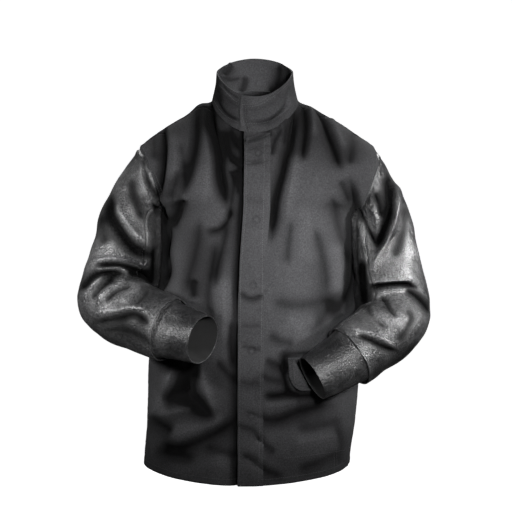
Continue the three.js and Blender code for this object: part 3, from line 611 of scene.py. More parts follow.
# %% Folds of the two fronts
RIGHT_FRONT_FOLDS = (
    (-6.0, 3.2, 5.5, 0.8, ((203, 74), (201, 98), (199, 124), (197, 142), (194, 158), (189, 176),
                           (182, 194), (176, 206))),
    (-10.5, 3.2, 5.0, -2.6, ((202, 76), (207, 101), (211, 124), (216, 138), (220, 155),
                             (221, 172), (224, 188), (228, 214))),
    (2.6, 5, 5, 0, ((205, 128), (207, 150), (207, 168), (206, 186), (203, 206))),
    (-4.6, 2.6, 3.2, 0.8, ((221, 126), (228, 150), (236, 159), (243, 157))),
    (-3.0, 2, 2.4, 0, ((229, 124), (237, 142), (244, 148))),
    (-3.0, 1.8, 1.8, 0.8, ((228, 157), (236, 162), (244, 170))),
    (-2.8, 1.6, 1.6, 0.6, ((227, 171), (234, 173), (244, 168))),
    (-2.6, 1.8, 1.8, 0, ((230, 172), (236, 182), (238, 196))),
    (-3.2, 2.2, 2.6, 0, ((237, 166), (233, 188), (231, 206), (229, 222))),
    (-4.8, 2.4, 3.2, 1.2, ((203, 233), (213, 232), (222, 228), (229, 218), (232, 206))),
    (-4.2, 4, 4, 0, ((229, 219), (223, 246), (217, 270), (214, 292))),
    (-8.0, 3.6, 5.5, 2.0, ((187, 198), (181, 206), (177, 216), (169, 230))),
    (2.4, 2.4, 2, 0, ((172, 201), (180, 200), (188, 201))),
    (-3.4, 3.4, 3.4, 0.8, ((178, 168), (174, 184), (168, 202))),
    (-2.8, 3, 3, 0, ((179, 140), (184, 160), (186, 182))),
    (-8.0, 2.2, 3.4, 2.2, ((158, 104), (162, 124), (165, 145), (164, 161), (162, 180),
                           (160, 191), (159, 210))),
    # Painted shadow on the body beside the right arm, with a shallow dent.
    (-6.5, 3, 5, 0, ((160, 196), (162, 214), (168, 232), (166, 252), (168, 270), (164, 284),
                     (158, 300))),
    (2.8, 6, 5, 0, ((172, 132), (175, 150), (175, 165), (171, 184))),
    (2.4, 5, 4, 0, ((189, 108), (189, 128), (186, 148), (181, 166))),
    (-3.0, 4, 4, 0, ((151, 122), (152, 140), (156, 162))),
    (-3.4, 5, 4, 0, ((199, 215), (196, 245), (189, 272), (182, 300))),
    (-3.6, 4, 4, 0, ((216, 238), (212, 262), (208, 288), (208, 316))),
    (-3.2, 4, 5, 0, ((207, 300), (211, 322), (209, 350))),
    (-4.5, 4, 3, 0, ((195, 278), (192, 288), (193, 300))),
    (2.4, 6, 6, 0, ((222, 272), (224, 305), (222, 345))),
    (-3.6, 3, 5, 0, ((178, 290), (176, 322), (173, 350), (165, 378))),
    (-3.4, 3, 3, 0, ((232, 318), (230, 344), (233, 372))),
    (3.6, 4, 4, 0, ((172, 366), (166, 382), (157, 406), (148, 423))),
    (-9.5, 5.0, 6.0, 0, ((198, 346), (195, 368), (188, 383), (187, 396), (198, 406), (220, 424))),
    (4.0, 4, 4, 0, ((199, 352), (201, 376), (207, 394), (218, 416))),
    (-5.5, 7, 7, 0, ((158, 403), (170, 397), (182, 393), (194, 386))),
    (3.4, 3, 3, 0, ((153, 415), (178, 411), (198, 407))),
    (-5.0, 5, 5, 0, ((146, 416), (158, 424), (174, 434))),
    (-5.0, 4.0, 6, 1.4, ((150, 456), (184, 447), (206, 438), (226, 427), (242, 415))),
    (2.8, 7, 6, 0, ((166, 436), (190, 430), (210, 424), (228, 414))),
    (-3.0, 3.4, 3.4, 0, ((214, 360), (226, 374), (240, 384))),
    (-3.0, 3, 4, 0, ((202, 446), (222, 452), (240, 456))),
    (-3.0, 4, 4, 0, ((160, 440), (176, 452), (196, 462))),
    (2.2, 8, 8, 0, ((160, 476), (185, 470), (212, 466), (236, 462))),
    # These two paint a dark line of shade beside the placket's edge, with a narrow groove.
    (-7.0, 2.6, 3.4, 0, ((245, 90), (244, 131), (243, 159), (241.5, 195), (239.5, 238),
                         (237, 295), (236, 340))),
    (-5.0, 2.4, 3.4, 0, ((237, 300), (236, 350), (236, 420), (237, 470), (237, 520))),
    # These broad, shallow strokes dent the cloth only a little. They paint shade on the chest, the
    # waist and the lower body, and below the forearm they paint its cast shadow.
    (-1.8, 11, 9, 0, ((186, 96), (190, 130), (184, 164), (172, 190))),
    (-2.6, 8, 8, 0, ((212, 104), (222, 122), (234, 138), (244, 150))),
    (-1.6, 8, 8, 0, ((222, 122), (232, 150), (236, 190))),
    (-1.4, 14, 14, 0, ((196, 220), (194, 260), (196, 320))),
    (-3.4, 13, 13, 0, ((152, 352), (172, 368), (190, 392), (206, 420))),
    (-1.4, 16, 14, 0, ((146, 402), (172, 414), (204, 426), (240, 440))),
    (-1.6, 12, 12, 0, ((150, 446), (180, 462), (222, 470))),
)
LEFT_FRONT_FOLDS = (
    (-8.5, 3.8, 5.5, -2.4, ((299, 96), (294, 122), (289, 145), (283, 158), (279, 172),
                            (274, 188), (270, 208), (267, 250))),
    (2.4, 6, 6, 0, ((299, 150), (292, 172), (286, 196), (282, 222))),
    (-3.4, 2.2, 2.4, 0.8, ((277, 126), (267, 142), (265, 158))),
    (-2.6, 2, 2, 0, ((283, 122), (279, 146))),
    (-6.0, 3.0, 3.6, 1.2, ((300, 78), (304, 98), (306, 121), (306, 134), (301, 166))),
    (2.6, 2.6, 2.6, 0, ((309, 102), (313, 122), (314, 140))),
    (-6.0, 3.0, 4.0, 1.4, ((311, 92), (319, 110), (327, 130), (334, 148), (343, 174))),
    (2.4, 3, 3, 0, ((329, 112), (338, 134), (345, 152))),
    (-5.0, 3, 4, 1.6, ((347, 170), (354, 195), (356, 216), (357, 238), (360, 266), (363, 292))),
    (-3.4, 4, 6, 0, ((312, 222), (321, 249), (326, 274), (327, 300))),
    (-3.4, 4, 5, 0, ((330, 192), (339, 224), (346, 245), (351, 268))),
    (-2.8, 4, 4, 0, ((291, 218), (288, 240), (286, 268))),
    (-3.0, 3, 3, 0, ((339, 178), (345, 192), (350, 206))),
    (-3.4, 3.4, 3.4, 0, ((357, 128), (352, 148), (349, 166))),
    (2.4, 8, 8, 0, ((304, 200), (306, 230), (308, 268))),
    (2.6, 7, 7, 0, ((334, 240), (338, 268), (336, 300))),
    (-2.6, 5, 5, 0.6, ((266, 300), (290, 306), (316, 304), (342, 294))),
    (-3.0, 4, 6, 0, ((338, 296), (322, 320), (306, 336))),
    (2.2, 8, 8, 0, ((282, 318), (300, 326), (320, 322))),
    (-3.0, 4, 4, 0, ((266, 334), (280, 342), (296, 344))),
    (-3.4, 3, 3.4, 0.8, ((262, 360), (276, 366), (292, 371))),
    (-3.0, 2.8, 2.8, 0, ((257, 376), (270, 380), (285, 383))),
    (-3.0, 2.8, 3.4, 0.8, ((264, 399), (283, 397), (302, 394))),
    (-3.8, 3.6, 4.4, 1.0, ((236, 408), (260, 418), (277, 421), (303, 411), (342, 405))),
    (-3.4, 3, 3, 0, ((257, 436), (266, 447), (276, 455))),
    (-3.8, 3.2, 4, 0.8, ((238, 451), (257, 465), (268, 473), (288, 479))),
    (-3.0, 5, 5, 0, ((292, 430), (318, 428), (346, 420))),
    (2.6, 8, 8, 0, ((290, 444), (315, 440), (342, 434))),
    (-3.0, 4, 4, 0, ((296, 472), (318, 464), (342, 452))),
    (-2.6, 4, 4, 0, ((336, 424), (342, 446), (338, 468))),
    # Painted shadow on the body beside the left arm, with a dent.
    (-6.0, 5, 9, 0, ((360, 244), (357, 266), (352, 288), (342, 306), (326, 322))),
    (3.0, 4, 4, 0, ((262, 406), (280, 404), (300, 400))),
    (-4.0, 3, 3, 0, ((262, 396), (278, 396), (294, 392))),
    (-3.0, 4, 4, 0, ((280, 350), (286, 362), (284, 376))),
    # Broad, shallow strokes that paint shade on the chest and the lower body.
    (-1.4, 14, 12, 0, ((292, 106), (318, 130), (342, 150), (356, 176))),
    (-1.4, 10, 10, 0, ((262, 414), (290, 420), (330, 408))),
    (-1.2, 10, 10, 0, ((262, 446), (290, 468), (330, 470))),
    # These two paint the flap's cast shadow on the front round its left side and foot, and a dark line
    # above it, as painted shadow with shallow grooves.
    (-6.5, 2.0, 2.0, 0, ((284, 352), (284.5, 375), (287.5, 388.5), (295.5, 395.5), (324, 395.5))),
    (-4.5, 1.4, 1.4, 0, ((282, 356), (292, 355), (302, 354), (314, 352))),
)
PLACKET_FOLDS = (
    (-7.0, 1.8, 2.0, 0.8, ((240, 141), (247, 139), (256, 136), (268, 131))),
    (-3.0, 1.6, 1.6, 0, ((246, 150), (254, 147), (264, 143))),
    (-3.4, 2.0, 2.0, 0.5, ((242, 162), (252, 162.5), (265, 159))),
    (-1.6, 4, 4, 0, ((242, 196), (254, 202), (266, 201))),
    (-4.5, 2.4, 2.4, 0.8, ((238, 292), (246, 299), (254, 300), (264, 295))),
    (-2.2, 2.6, 2.6, 0, ((239, 325), (250, 328), (262, 326))),
    (-2.0, 2.6, 2.6, 0, ((239, 347), (250, 349), (262, 351))),
    (-4.0, 2.6, 2.8, 0, ((234, 425), (246, 429), (254, 432), (262, 445))),
    (-2.4, 4, 4, 0, ((236, 380), (248, 385), (262, 382))),
    (-2.0, 4, 4, 0, ((238, 462), (248, 458), (260, 464))),
)

# %% [markdown]
# ## The folds of the sleeves
# Leather bends in few, round folds. Both arms hang, and the forearms come forward, so the leather
# is pushed together at the crook of the elbow: lips stand one over the other there, and gathers run
# out from them like rays.

# %% Folds of the sleeves
RIGHT_SLEEVE_FOLDS = (
    (3.8, 2.0, 1.8, 0, ((138, 140), (140, 153), (143, 176), (149, 203), (155, 216), (160, 227),
                        (158, 240), (152, 254))),
    (-5.0, 2.0, 3, 0, ((141, 150), (146, 175), (152, 188), (159, 198), (164, 206))),
    (3.6, 1.8, 1.8, 0, ((142, 164), (148, 170), (153, 176), (158, 186), (161, 196))),
    (-9.0, 3, 3, 0, ((148, 200), (155, 206), (163, 219), (168, 232), (168, 250))),
    # Painted shade on the inner strip of the sleeve beside the body, with a dent.
    (-6.0, 3, 4, 0, ((163, 204), (163, 225), (160, 246), (158, 262), (154, 286))),
    (3.0, 2.0, 2.0, 0, ((148, 199), (152, 202), (160, 207))),
    (-9.5, 4, 5, 3.4, ((109, 186), (109, 200), (111, 216), (120, 230), (130, 243), (140, 251),
                       (156, 256))),
    (4.6, 4, 4, 0, ((121, 202), (125, 218), (134, 232), (146, 244))),
    (3.0, 5, 5, 0, ((124, 158), (120, 174), (116, 192))),
    (-3.6, 4, 4, 0.8, ((130, 172), (132, 190), (138, 206), (146, 224))),
    (-3.2, 5, 5, 0, ((99, 212), (101, 230), (106, 246))),
    (5.0, 2.0, 2.2, 0, ((92, 261), (97, 260), (114, 259), (133, 261), (143, 265), (148, 260),
                        (154, 256))),
    (-9.5, 1.8, 2.4, 0, ((91, 264), (104, 264), (117, 264), (130, 268), (146, 276), (158, 286))),
    (4.5, 1.6, 1.8, 0, ((94, 267), (100, 269), (110, 268), (121, 268), (130, 273))),
    (-8.5, 3.2, 3.0, 0, ((126, 275), (138, 274), (147, 275), (157, 284))),
    (-8.0, 3.6, 4, 0, ((76, 294), (84, 284), (94, 276), (110, 274), (128, 277))),
    (4.0, 1.8, 1.8, 0, ((82, 300), (88, 291), (98, 280), (106, 275))),
    (-4.6, 1.8, 1.8, 0, ((90, 301), (96, 292), (106, 283), (118, 278))),
    (4.2, 1.8, 1.8, 0, ((95, 302), (104, 293), (114, 286), (128, 282))),
    (-5.0, 2.0, 2.0, 0, ((104, 303), (112, 294), (120, 289), (134, 285))),
    (3.4, 4, 4, 0, ((120, 304), (130, 292), (144, 286))),
    (-3.6, 2.4, 2.4, 1.0, ((150, 288), (142, 298), (134, 306))),
    (3.6, 5, 4, 0, ((84, 310), (104, 313), (130, 308), (154, 312))),
    (-6.0, 3.6, 3.6, 0, ((88, 327), (104, 321), (121, 317), (136, 314), (152, 328))),
    (-3.5, 4, 4, 0, ((100, 333), (120, 331), (140, 338), (156, 350))),
    (3.6, 3, 4, 0, ((182, 303), (170, 304), (161, 313), (157, 327), (156, 341), (159, 357))),
    (-6.0, 3, 3, 0, ((182, 309), (172, 311), (164, 321), (162, 334), (164, 348))),
    # Painted shade: the inner strip below the upper arm is made near black, with a dent.
    (-5.0, 6, 6, 0, ((157, 244), (158, 262), (157, 280), (156, 290))),
)
LEFT_SLEEVE_FOLDS = (
    (4.2, 2.4, 2.4, 0, ((374, 150), (376, 164), (371, 180), (361, 196), (357, 205), (364, 214))),
    (3.6, 3, 3, 0, ((366, 206), (374, 212), (377, 224), (376, 238))),
    (-3.6, 3, 3, 0, ((372, 190), (378, 204), (381, 220))),
    (-10.5, 3.4, 4.4, 4.0, ((391, 166), (392, 180), (391, 194), (391, 207), (386, 224),
                            (380, 240), (374, 254))),
    (5.0, 3, 3, 0, ((396, 182), (397, 200), (393, 224), (384, 246), (374, 263), (369, 273),
                    (373, 283))),
    (-3.4, 5, 5, 0, ((404, 200), (406, 222), (400, 244), (391, 262))),
    (3.0, 6, 6, 0, ((412, 212), (416, 236), (412, 262))),
    (-5.5, 1.4, 1.6, 0, ((352, 198), (357, 206), (366, 225), (377, 248))),
    (4.0, 4, 4, 0, ((358, 216), (362, 234), (367, 252))),
    # Painted shade in the wedge between the forearm and the body, with a dent.
    (-8.5, 5, 6, 0, ((360, 256), (360, 272), (361, 290), (362, 312))),
    (5.0, 1.8, 2.0, 0, ((366, 284), (375, 282), (400, 280), (411, 281), (416, 288))),
    (-9.5, 1.8, 2.4, 0, ((366, 288), (376, 286), (400, 284), (411, 285), (420, 290))),
    (4.4, 1.8, 2.0, 0, ((374, 300), (380, 294), (393, 290), (411, 289), (420, 292))),
    (-6.5, 2.6, 3.4, 1.2, ((400, 288), (410, 291), (421, 299), (430, 309), (436, 318))),
    (-5.0, 2.4, 2.4, 0, ((376, 297), (384, 300), (390, 310), (398, 318))),
    (3.4, 5, 5, 0, ((366, 312), (384, 316), (400, 324), (408, 336))),
    (-3.6, 3, 3, 0, ((404, 306), (412, 318), (404, 334), (396, 344))),
    (-3.0, 3, 3, 0, ((366, 304), (372, 316), (388, 330))),
    (4.6, 2.2, 2.2, 0, ((340, 326), (350, 328), (366, 333), (372, 333), (384, 341), (400, 351))),
    (-7.0, 2.2, 2.4, 0, ((354, 332), (364, 336), (373, 340), (384, 346), (400, 354))),
    (4.2, 2.4, 2.4, 0, ((338, 328), (346, 332), (359, 354), (366, 364), (370, 378))),
    (-6.5, 2.4, 2.4, 0, ((334, 330), (341, 335), (352, 348), (359, 360), (362, 378))),
    (-5.0, 6, 6, 0, ((366, 382), (384, 374), (404, 360), (420, 342))),
)

# %% [markdown]
# ## The back
# The photograph doesn't show the back. It is finished plainly: the cloth spans the shoulder blades,
# drops in a few long soft folds, and gathers a little at the waist and above the hem. The backs of
# the sleeves carry the outer ends of the elbow folds. These paths are set in the same picture
# measure, seen from as far behind.

# %% Folds of the back
BACK_FOLDS = (
    (-3.6, 6, 6, 1.0, ((176, 150), (186, 186), (194, 226), (198, 262))),
    (-3.6, 6, 6, -1.0, ((336, 150), (326, 186), (318, 226), (314, 262))),
    (-2.6, 7, 7, 0, ((228, 128), (230, 170), (226, 214))),
    (-2.6, 7, 7, 0, ((282, 128), (280, 170), (284, 214))),
    (-4.2, 4, 5, 1.2, ((158, 196), (172, 214), (192, 226), (216, 230))),
    (-4.2, 4, 5, 1.2, ((356, 196), (342, 214), (320, 226), (296, 230))),
    (-3.4, 5, 5, 1.2, ((176, 312), (204, 322), (240, 318), (272, 310))),
    (-3.0, 5, 5, 1.0, ((242, 338), (276, 344), (312, 338), (338, 324))),
    (-3.4, 6, 6, 0, ((222, 352), (216, 400), (208, 452), (204, 482))),
    (-3.0, 7, 7, 0, ((262, 360), (266, 410), (262, 478))),
    (-3.4, 6, 6, 0, ((302, 350), (308, 400), (316, 450), (320, 482))),
    (-3.0, 5, 5, 0, ((184, 362), (176, 400), (170, 440))),
    (-3.0, 5, 5, 0, ((334, 362), (340, 400), (344, 440))),
    (2.6, 9, 9, 0, ((206, 270), (204, 310), (198, 352))),
    (2.6, 9, 9, 0, ((306, 270), (310, 310), (314, 352))),
)
BACK_SLEEVE_FOLDS = (
    (-4.5, 3, 3, 1.6, ((392, 262), (408, 258), (424, 266), (434, 280))),
    (-5.5, 3, 3, 1.6, ((388, 276), (404, 278), (422, 288), (434, 304))),
    (-4.0, 3, 3, 0, ((386, 292), (398, 300), (410, 314))),
    (-4.0, 4, 4, 1.2, ((392, 176), (400, 196), (398, 222), (388, 244))),
    (-4.5, 3, 3, 1.6, ((124, 284), (108, 278), (94, 288), (84, 304))),
    (-5.5, 3, 3, 1.6, ((130, 298), (114, 300), (98, 312), (88, 328))),
    (-4.0, 3, 3, 0, ((132, 312), (120, 322), (108, 334))),
    (-4.0, 4, 4, 1.2, ((120, 186), (112, 206), (116, 232), (126, 256))),
    (-3.5, 4, 4, 0, ((96, 202), (92, 226), (98, 250))),
)

# %% [markdown]
# ## Divide and press
# The joined skin is divided three times, so that its faces are a few millimetres wide and tight
# folds stay crisp. Then it takes the strokes and a slight unevenness. Cotton is soft and folds
# deeper than the strokes say, and the doubled placket less.

# %% Shape the skin
RIGHT_SLEEVE = (3, 4)
LEFT_SLEEVE = (5, 6)
UNEVEN = (
    # panels, size of a patch in metres, height in millimetres
    ((0, 1, 2), 0.055, 1.1),
    ((3, 4, 5, 6), 0.032, 1.6),
)


def roughen(sheet, panels, patch, height):
    """A slight unevenness, as cloth and leather have after some wear."""
    for vert in sheet.verts:
        if any(f.material_index in panels for f in vert.link_faces):
            vert.co += vert.normal * noise.noise(vert.co / patch) * height * MM


COTTON_DEPTH = 1.45
PLACKET_DEPTH = 0.85

finer = refined(skin, 3)
press_folds(finer, (0,), RIGHT_FRONT_FOLDS, share=COTTON_DEPTH)
press_folds(finer, (1,), LEFT_FRONT_FOLDS, share=COTTON_DEPTH)
press_folds(finer, (1,), PLACKET_FOLDS, share=PLACKET_DEPTH)
press_folds(finer, RIGHT_SLEEVE, RIGHT_SLEEVE_FOLDS)
press_folds(finer, LEFT_SLEEVE, LEFT_SLEEVE_FOLDS)
press_folds(finer, (2,), BACK_FOLDS, rear=True)
press_folds(finer, RIGHT_SLEEVE + LEFT_SLEEVE, BACK_SLEEVE_FOLDS, rear=True)
for panels, patch, height in UNEVEN:
    roughen(finer, panels, patch, height)
finer.normal_update()
print("faces after dividing:", len(finer.faces))

# %% [markdown]
# ## The lap
# The left front closes over the right. Its free edge isn't quite upright: it runs a little to the
# wearer's left between the waist and the neck, and the cloth beside it goes along.

# %% Slant the lap
LAP_HEIGHTS = (-0.74, -0.385, -0.288, -0.2, -0.145, -0.04)
LAP_SHIFTS = (-0.0015, 0.0005, 0.0045, 0.011, 0.012, 0.013)
LAP_FADE = (0.03, 0.09)


def lap_shift(height):
    return float(np.interp(height, LAP_HEIGHTS, LAP_SHIFTS))


def slant_lap(verts):
    for vert in verts:
        held = 1 - float(smooth_step(vert.co.x, *LAP_FADE))
        if vert.co.y < 0:
            vert.co.x += lap_shift(vert.co.z) * held


def panels_of(item):
    return {face.material_index for face in item.link_faces}


slant_lap([v for v in finer.verts if panels_of(v) == {1}])
finer.normal_update()
print("lap moved by", LAP_SHIFTS[0], "at the hem and", LAP_SHIFTS[-1], "at the neck")

# %% [markdown]
# ## The hem
# The hem is turned up twice, so it is a thicker band with a slight twist. Its height is measured
# along the lower edge, because the edge isn't level.

# %% Find the hem
HEM_BAND = 0.012
HEM_LIFT = 0.0011
HEM_START = -0.68
HEM_ROOM = 0.06
ROPE_TURN = 0.012


def hem_line(sheet):
    """The height of the hem at each place across the jacket."""
    edge = [v.co for v in sheet.verts if v.is_boundary and v.co.z < HEM_START]
    edge = sorted((p.x, p.z) for p in edge)
    return [p[0] for p in edge], [p[1] for p in edge]


HEM_X, HEM_Z = hem_line(finer)


def hem_height(across):
    return float(np.interp(across, HEM_X, HEM_Z))


def thicken_hem(sheet):
    for vert in sheet.verts:
        if panels_of(vert) & {0, 1, 2} and vert.co.z < cad_box[0][2] + HEM_ROOM:
            above = vert.co.z - hem_height(vert.co.x)
            band = 1 - float(smooth_step(above, HEM_BAND * 0.75, HEM_BAND))
            rope = 0.7 + 0.8 * noise.noise(Vector((vert.co.x / ROPE_TURN, vert.co.y / ROPE_TURN, 0)))
            vert.co += vert.normal * HEM_LIFT * band * rope


print("hem points:", len(HEM_X), "from", round(min(HEM_Z), 3), "to", round(max(HEM_Z), 3))

# %% [markdown]
# ## The seams
# Where two panels are sewn, the stitches pull the seam in and the layers inside raise a roll beside
# it, with small puckers.

# %% Mark the seams
SEAMS = (
    # panels, groove, groove width, roll, roll distance, pucker, all in millimetres
    (((0, 2), (1, 2)), 1.0, 2.2, 0.7, 6, 0.5),
    (((0, 3), (0, 4), (1, 5), (1, 6), (2, 3), (2, 4), (2, 5), (2, 6)), 2.0, 2.6, 1.4, 7, 1.0),
    (((3, 4), (5, 6)), 1.3, 2.2, 0.9, 5, 0.7),
)
SEAM_SPREAD = 2.6  # roll distances
PUCKER_SIZE = 0.007


def seam_edges(sheet, pairs):
    pairs = [set(pair) for pair in pairs]
    return [e for e in sheet.edges if len(e.link_faces) == 2 and panels_of(e) in pairs]


def near_points(points):
    tree = KDTree(len(points))
    for number, point in enumerate(points):
        tree.insert(point, number)
    tree.balance()
    return tree


def mark_seams(sheet):
    for pairs, groove, width, roll, far, pucker in SEAMS:
        edges = seam_edges(sheet, pairs)
        spots = {v.index: v.co.copy() for e in edges for v in e.verts}
        tree = near_points(list(spots.values()))
        reach = far * SEAM_SPREAD * MM
        for vert in sheet.verts:
            point, number, apart = tree.find(vert.co)
            if apart > reach:
                continue
            apart /= MM
            wave = noise.noise(point / PUCKER_SIZE) * pucker
            lift = -groove * math.exp(-((apart / width) ** 2))
            lift += (roll + wave) * math.exp(-(((apart - far) / (0.6 * far)) ** 2))
            vert.co += vert.normal * lift * MM
        print("seam edges:", len(edges))


mark_seams(finer)
thicken_hem(finer)

# %% [markdown]
# ## Layers that touch
# The folds of two layers mustn't cut through each other. Where the fronts lap, the right one is
# kept behind the left. The arms hang against the body, so the inner sides of the sleeves are drawn
# onto it.

# %% Settle the layers
LAP_ROOM = 0.0030
LAP_START = -0.06
SIGHT_START = 0.06
SIGHT_LENGTH = 0.12
ARM_LOW, ARM_HIGH = -0.47, -0.19
ARM_REACH = 0.016
ARM_TOUCH = 0.0008


def surface_of(sheet, panels):
    """The chosen panels as a surface that can be measured against."""
    part = sheet.copy()
    others = [f for f in part.faces if f.material_index not in panels]
    bmesh.ops.delete(part, geom=others, context="FACES")
    bmesh.ops.triangulate(part, faces=part.faces)
    tree = BVHTree.FromBMesh(part)
    part.free()
    return tree


def tuck_under(sheet):
    """Keep the right front behind the left one where they lap."""
    cover = surface_of(sheet, (1,))
    moved = 0
    for vert in sheet.verts:
        if panels_of(vert) != {0} or vert.co.x < LAP_START:
            continue
        start = vert.co + Vector((0, -SIGHT_START, 0))
        hit = cover.ray_cast(start, Vector((0, 1, 0)), SIGHT_LENGTH)[0]
        if hit is not None and vert.co.y < hit.y + LAP_ROOM:
            vert.co.y = hit.y + LAP_ROOM
            moved += 1
    print("points tucked under the lap:", moved)


def rest_arms(sheet):
    """Let the inner sides of the sleeves touch the body."""
    body = surface_of(sheet, (0, 1, 2))
    moved = 0
    for vert in sheet.verts:
        if not panels_of(vert) <= {3, 4, 5, 6} or not ARM_LOW < vert.co.z < ARM_HIGH:
            continue
        spot, normal, number, apart = body.find_nearest(vert.co)
        if apart > ARM_REACH:
            continue
        pull = 1 - float(smooth_step(apart, ARM_REACH * 0.55, ARM_REACH))
        pull *= float(smooth_step(vert.co.z, ARM_LOW, ARM_LOW + 0.03))
        pull *= 1 - float(smooth_step(vert.co.z, ARM_HIGH - 0.02, ARM_HIGH))
        vert.co = vert.co.lerp(spot + normal * ARM_TOUCH, pull)
        moved += 1
    print("points resting on the body:", moved)


tuck_under(finer)
rest_arms(finer)

# %% [markdown]
# ## Shoulders and neck
# The cloth of the shoulders stands up a little beside the collar. The neck edge of the body is
# sewn between the two layers of the collar, so it runs up inside it.

# %% Raise the shoulders and close the neck
YOKE_LIFTS = (
    # across, reach, lift: the cloth stands up a little beside the collar
    (-0.103, 0.019, 0.011),
    (0.11, 0.024, 0.006),
)
YOKE_FOOT, YOKE_TOP = -0.1, -0.045
NECK_TUCK = 0.006
NECK_RISE = 0.006
NECK_BELOW = 0.03
NECK_ASIDE = 0.02
NECK_REACH = 0.11


def lift_yoke(sheet):
    """Raise the cloth of the shoulders beside the collar."""
    for vert in sheet.verts:
        if not panels_of(vert) <= {0, 1, 2}:
            continue
        near = float(smooth_step(vert.co.z, YOKE_FOOT, YOKE_TOP))
        for across, reach, lift in YOKE_LIFTS:
            vert.co.z += lift * near * math.exp(-(((vert.co.x - across) / reach) ** 2))


def close_neck(sheet):
    """Carry the neck edge of the body up inside the collar, as its seam allowance is."""
    low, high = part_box("collar")
    middle = Vector(((low.x + high.x) / 2, (low.y + high.y) / 2, 0))
    for vert in sheet.verts:
        if not vert.is_boundary or vert.co.z < low.z - NECK_BELOW:
            continue
        if not low.x - NECK_ASIDE < vert.co.x < high.x + NECK_ASIDE:
            continue
        inward = (middle - vert.co) * Vector((1, 1, 0))
        if inward.length < NECK_REACH:
            vert.co += inward.normalized() * NECK_TUCK + Vector((0, 0, NECK_RISE))


lift_yoke(finer)
close_neck(finer)
finer.normal_update()
print("neck edge tucked in by", NECK_TUCK, "metres")

# %% [markdown]
# ## Cut the panels out again
# Each panel becomes its own piece, with Solidify for the cloth's thickness toward the inside and a
# small Bevel on the cut edges. A map laid round the body carries the weave, in metres, so the twill
# stays upright on the cloth.

# %% Make the panel pieces
COTTON_WALL = 0.0017
LEATHER_WALL = 0.0019
ROUND_REACH = 0.17
EDGE_ROUND = 0.0004


def lay_weave(sheet, reach=ROUND_REACH):
    """Map the cloth round the body, in metres."""
    layer = sheet.loops.layers.uv.new("weave")
    for face in sheet.faces:
        for loop in face.loops:
            point = loop.vert.co
            angle = math.atan2(point.x, -point.y)
            loop[layer].uv = (angle * reach, point.z)


def finish_piece(name, sheet, node, slot, material, wall, corners=True):
    """Turn a sheet into a piece with a wall, in place of its CAD node."""
    if not sheet.loops.layers.uv:
        lay_weave(sheet)
    mesh = bpy.data.meshes.new(name)
    for face in sheet.faces:
        face.material_index = 0
        face.smooth = True
    sheet.to_mesh(mesh)
    mesh.materials.append(material)
    piece = bpy.data.objects.new(name, mesh)
    bpy.context.scene.collection.objects.link(piece)
    thick = piece.modifiers.new("wall", "SOLIDIFY")
    thick.thickness = wall
    thick.offset = -1
    if corners:
        edge = piece.modifiers.new("worn_edge", "BEVEL")
        edge.width = EDGE_ROUND
        edge.segments = 2
        edge.limit_method = "ANGLE"
        edge.angle_limit = math.radians(60)
    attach(piece, "root")
    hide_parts(node)
    area = sum(face.area for face in mesh.polygons)
    print(name, "faces:", len(mesh.polygons), "square metres:", round(area, 4))
    return piece


def cut_out(number):
    part = finer.copy()
    others = [f for f in part.faces if f.material_index != number]
    bmesh.ops.delete(part, geom=others, context="FACES")
    return part


panel_pieces = {}
for number, node in enumerate(PANELS):
    part = cut_out(number)
    leather = node.startswith("sleeve")
    words = ("leather", LEATHER, LEATHER_WALL) if leather else ("cotton", COTTON, COTTON_WALL)
    panel_pieces[node] = finish_piece(node + "_panel", part, node, *words)
    part.free()

# %% [markdown]
# ## Placket and pocket flap
# The placket is a folded strip sewn down along the edge of the left front, over hidden snaps. It
# follows the front below it, so the plain strip is divided and each point is laid on that front. Each
# snap prints a small ring through the strip. The flap is sewn along its top and stands a little
# free at the foot.

# %% Make the placket
LAID_ABOVE = 0.0021
LAY_START = 0.05
STRIP_WALL = 0.0017
SNAP_HEIGHTS = (-0.091, -0.2176, -0.344, -0.471, -0.598)
SNAP_ACROSS = -0.002
SNAP_DENT = 0.0012
SNAP_REACH = 0.006
SNAP_TONE = 1.7

left_front = surface_of(finer, (1,))


def lay_on_front(sheet, above, level=False):
    """Lay a sheet on the left front, or level above it, each point at its own height."""
    laid = []
    for vert in sheet.verts:
        start = vert.co + Vector((0, -LAY_START, 0))
        hit, normal = left_front.ray_cast(start, Vector((0, 1, 0)), SIGHT_LENGTH)[:2]
        if hit is None:
            hit, normal = left_front.find_nearest(vert.co)[:2]
            hit = Vector((vert.co.x, hit.y, vert.co.z))
        laid.append((vert, hit, normal, above(vert.co)))
    middle = sum((row[2] for row in laid), Vector()).normalized()
    for vert, hit, normal, height in laid:
        vert.co = hit + (middle if level else normal) * height


placket = refined(outer_skin("placket"), 4)
slant_lap(placket.verts)
lay_on_front(placket, lambda point: LAID_ABOVE)
press_folds(placket, (0,), PLACKET_FOLDS, share=PLACKET_DEPTH)
snap_tone = placket.verts.layers.float["fold"]
for vert in placket.verts:
    for height in SNAP_HEIGHTS:
        centre = Vector((SNAP_ACROSS + lap_shift(height), vert.co.y, height))
        apart = (vert.co - centre).length / SNAP_REACH
        vert.co.y += SNAP_DENT * math.exp(-(apart**4))
        # Over each snap the strip is made paler, with a darker ring round it.
        pale, dark = math.exp(-((apart / 0.6) ** 2)), math.exp(-(((apart - 1) / 0.4) ** 2))
        vert[snap_tone] += SNAP_TONE * (pale - dark)
placket.normal_update()
placket_piece = finish_piece("placket_strip", placket, "placket", "cotton", COTTON, STRIP_WALL)

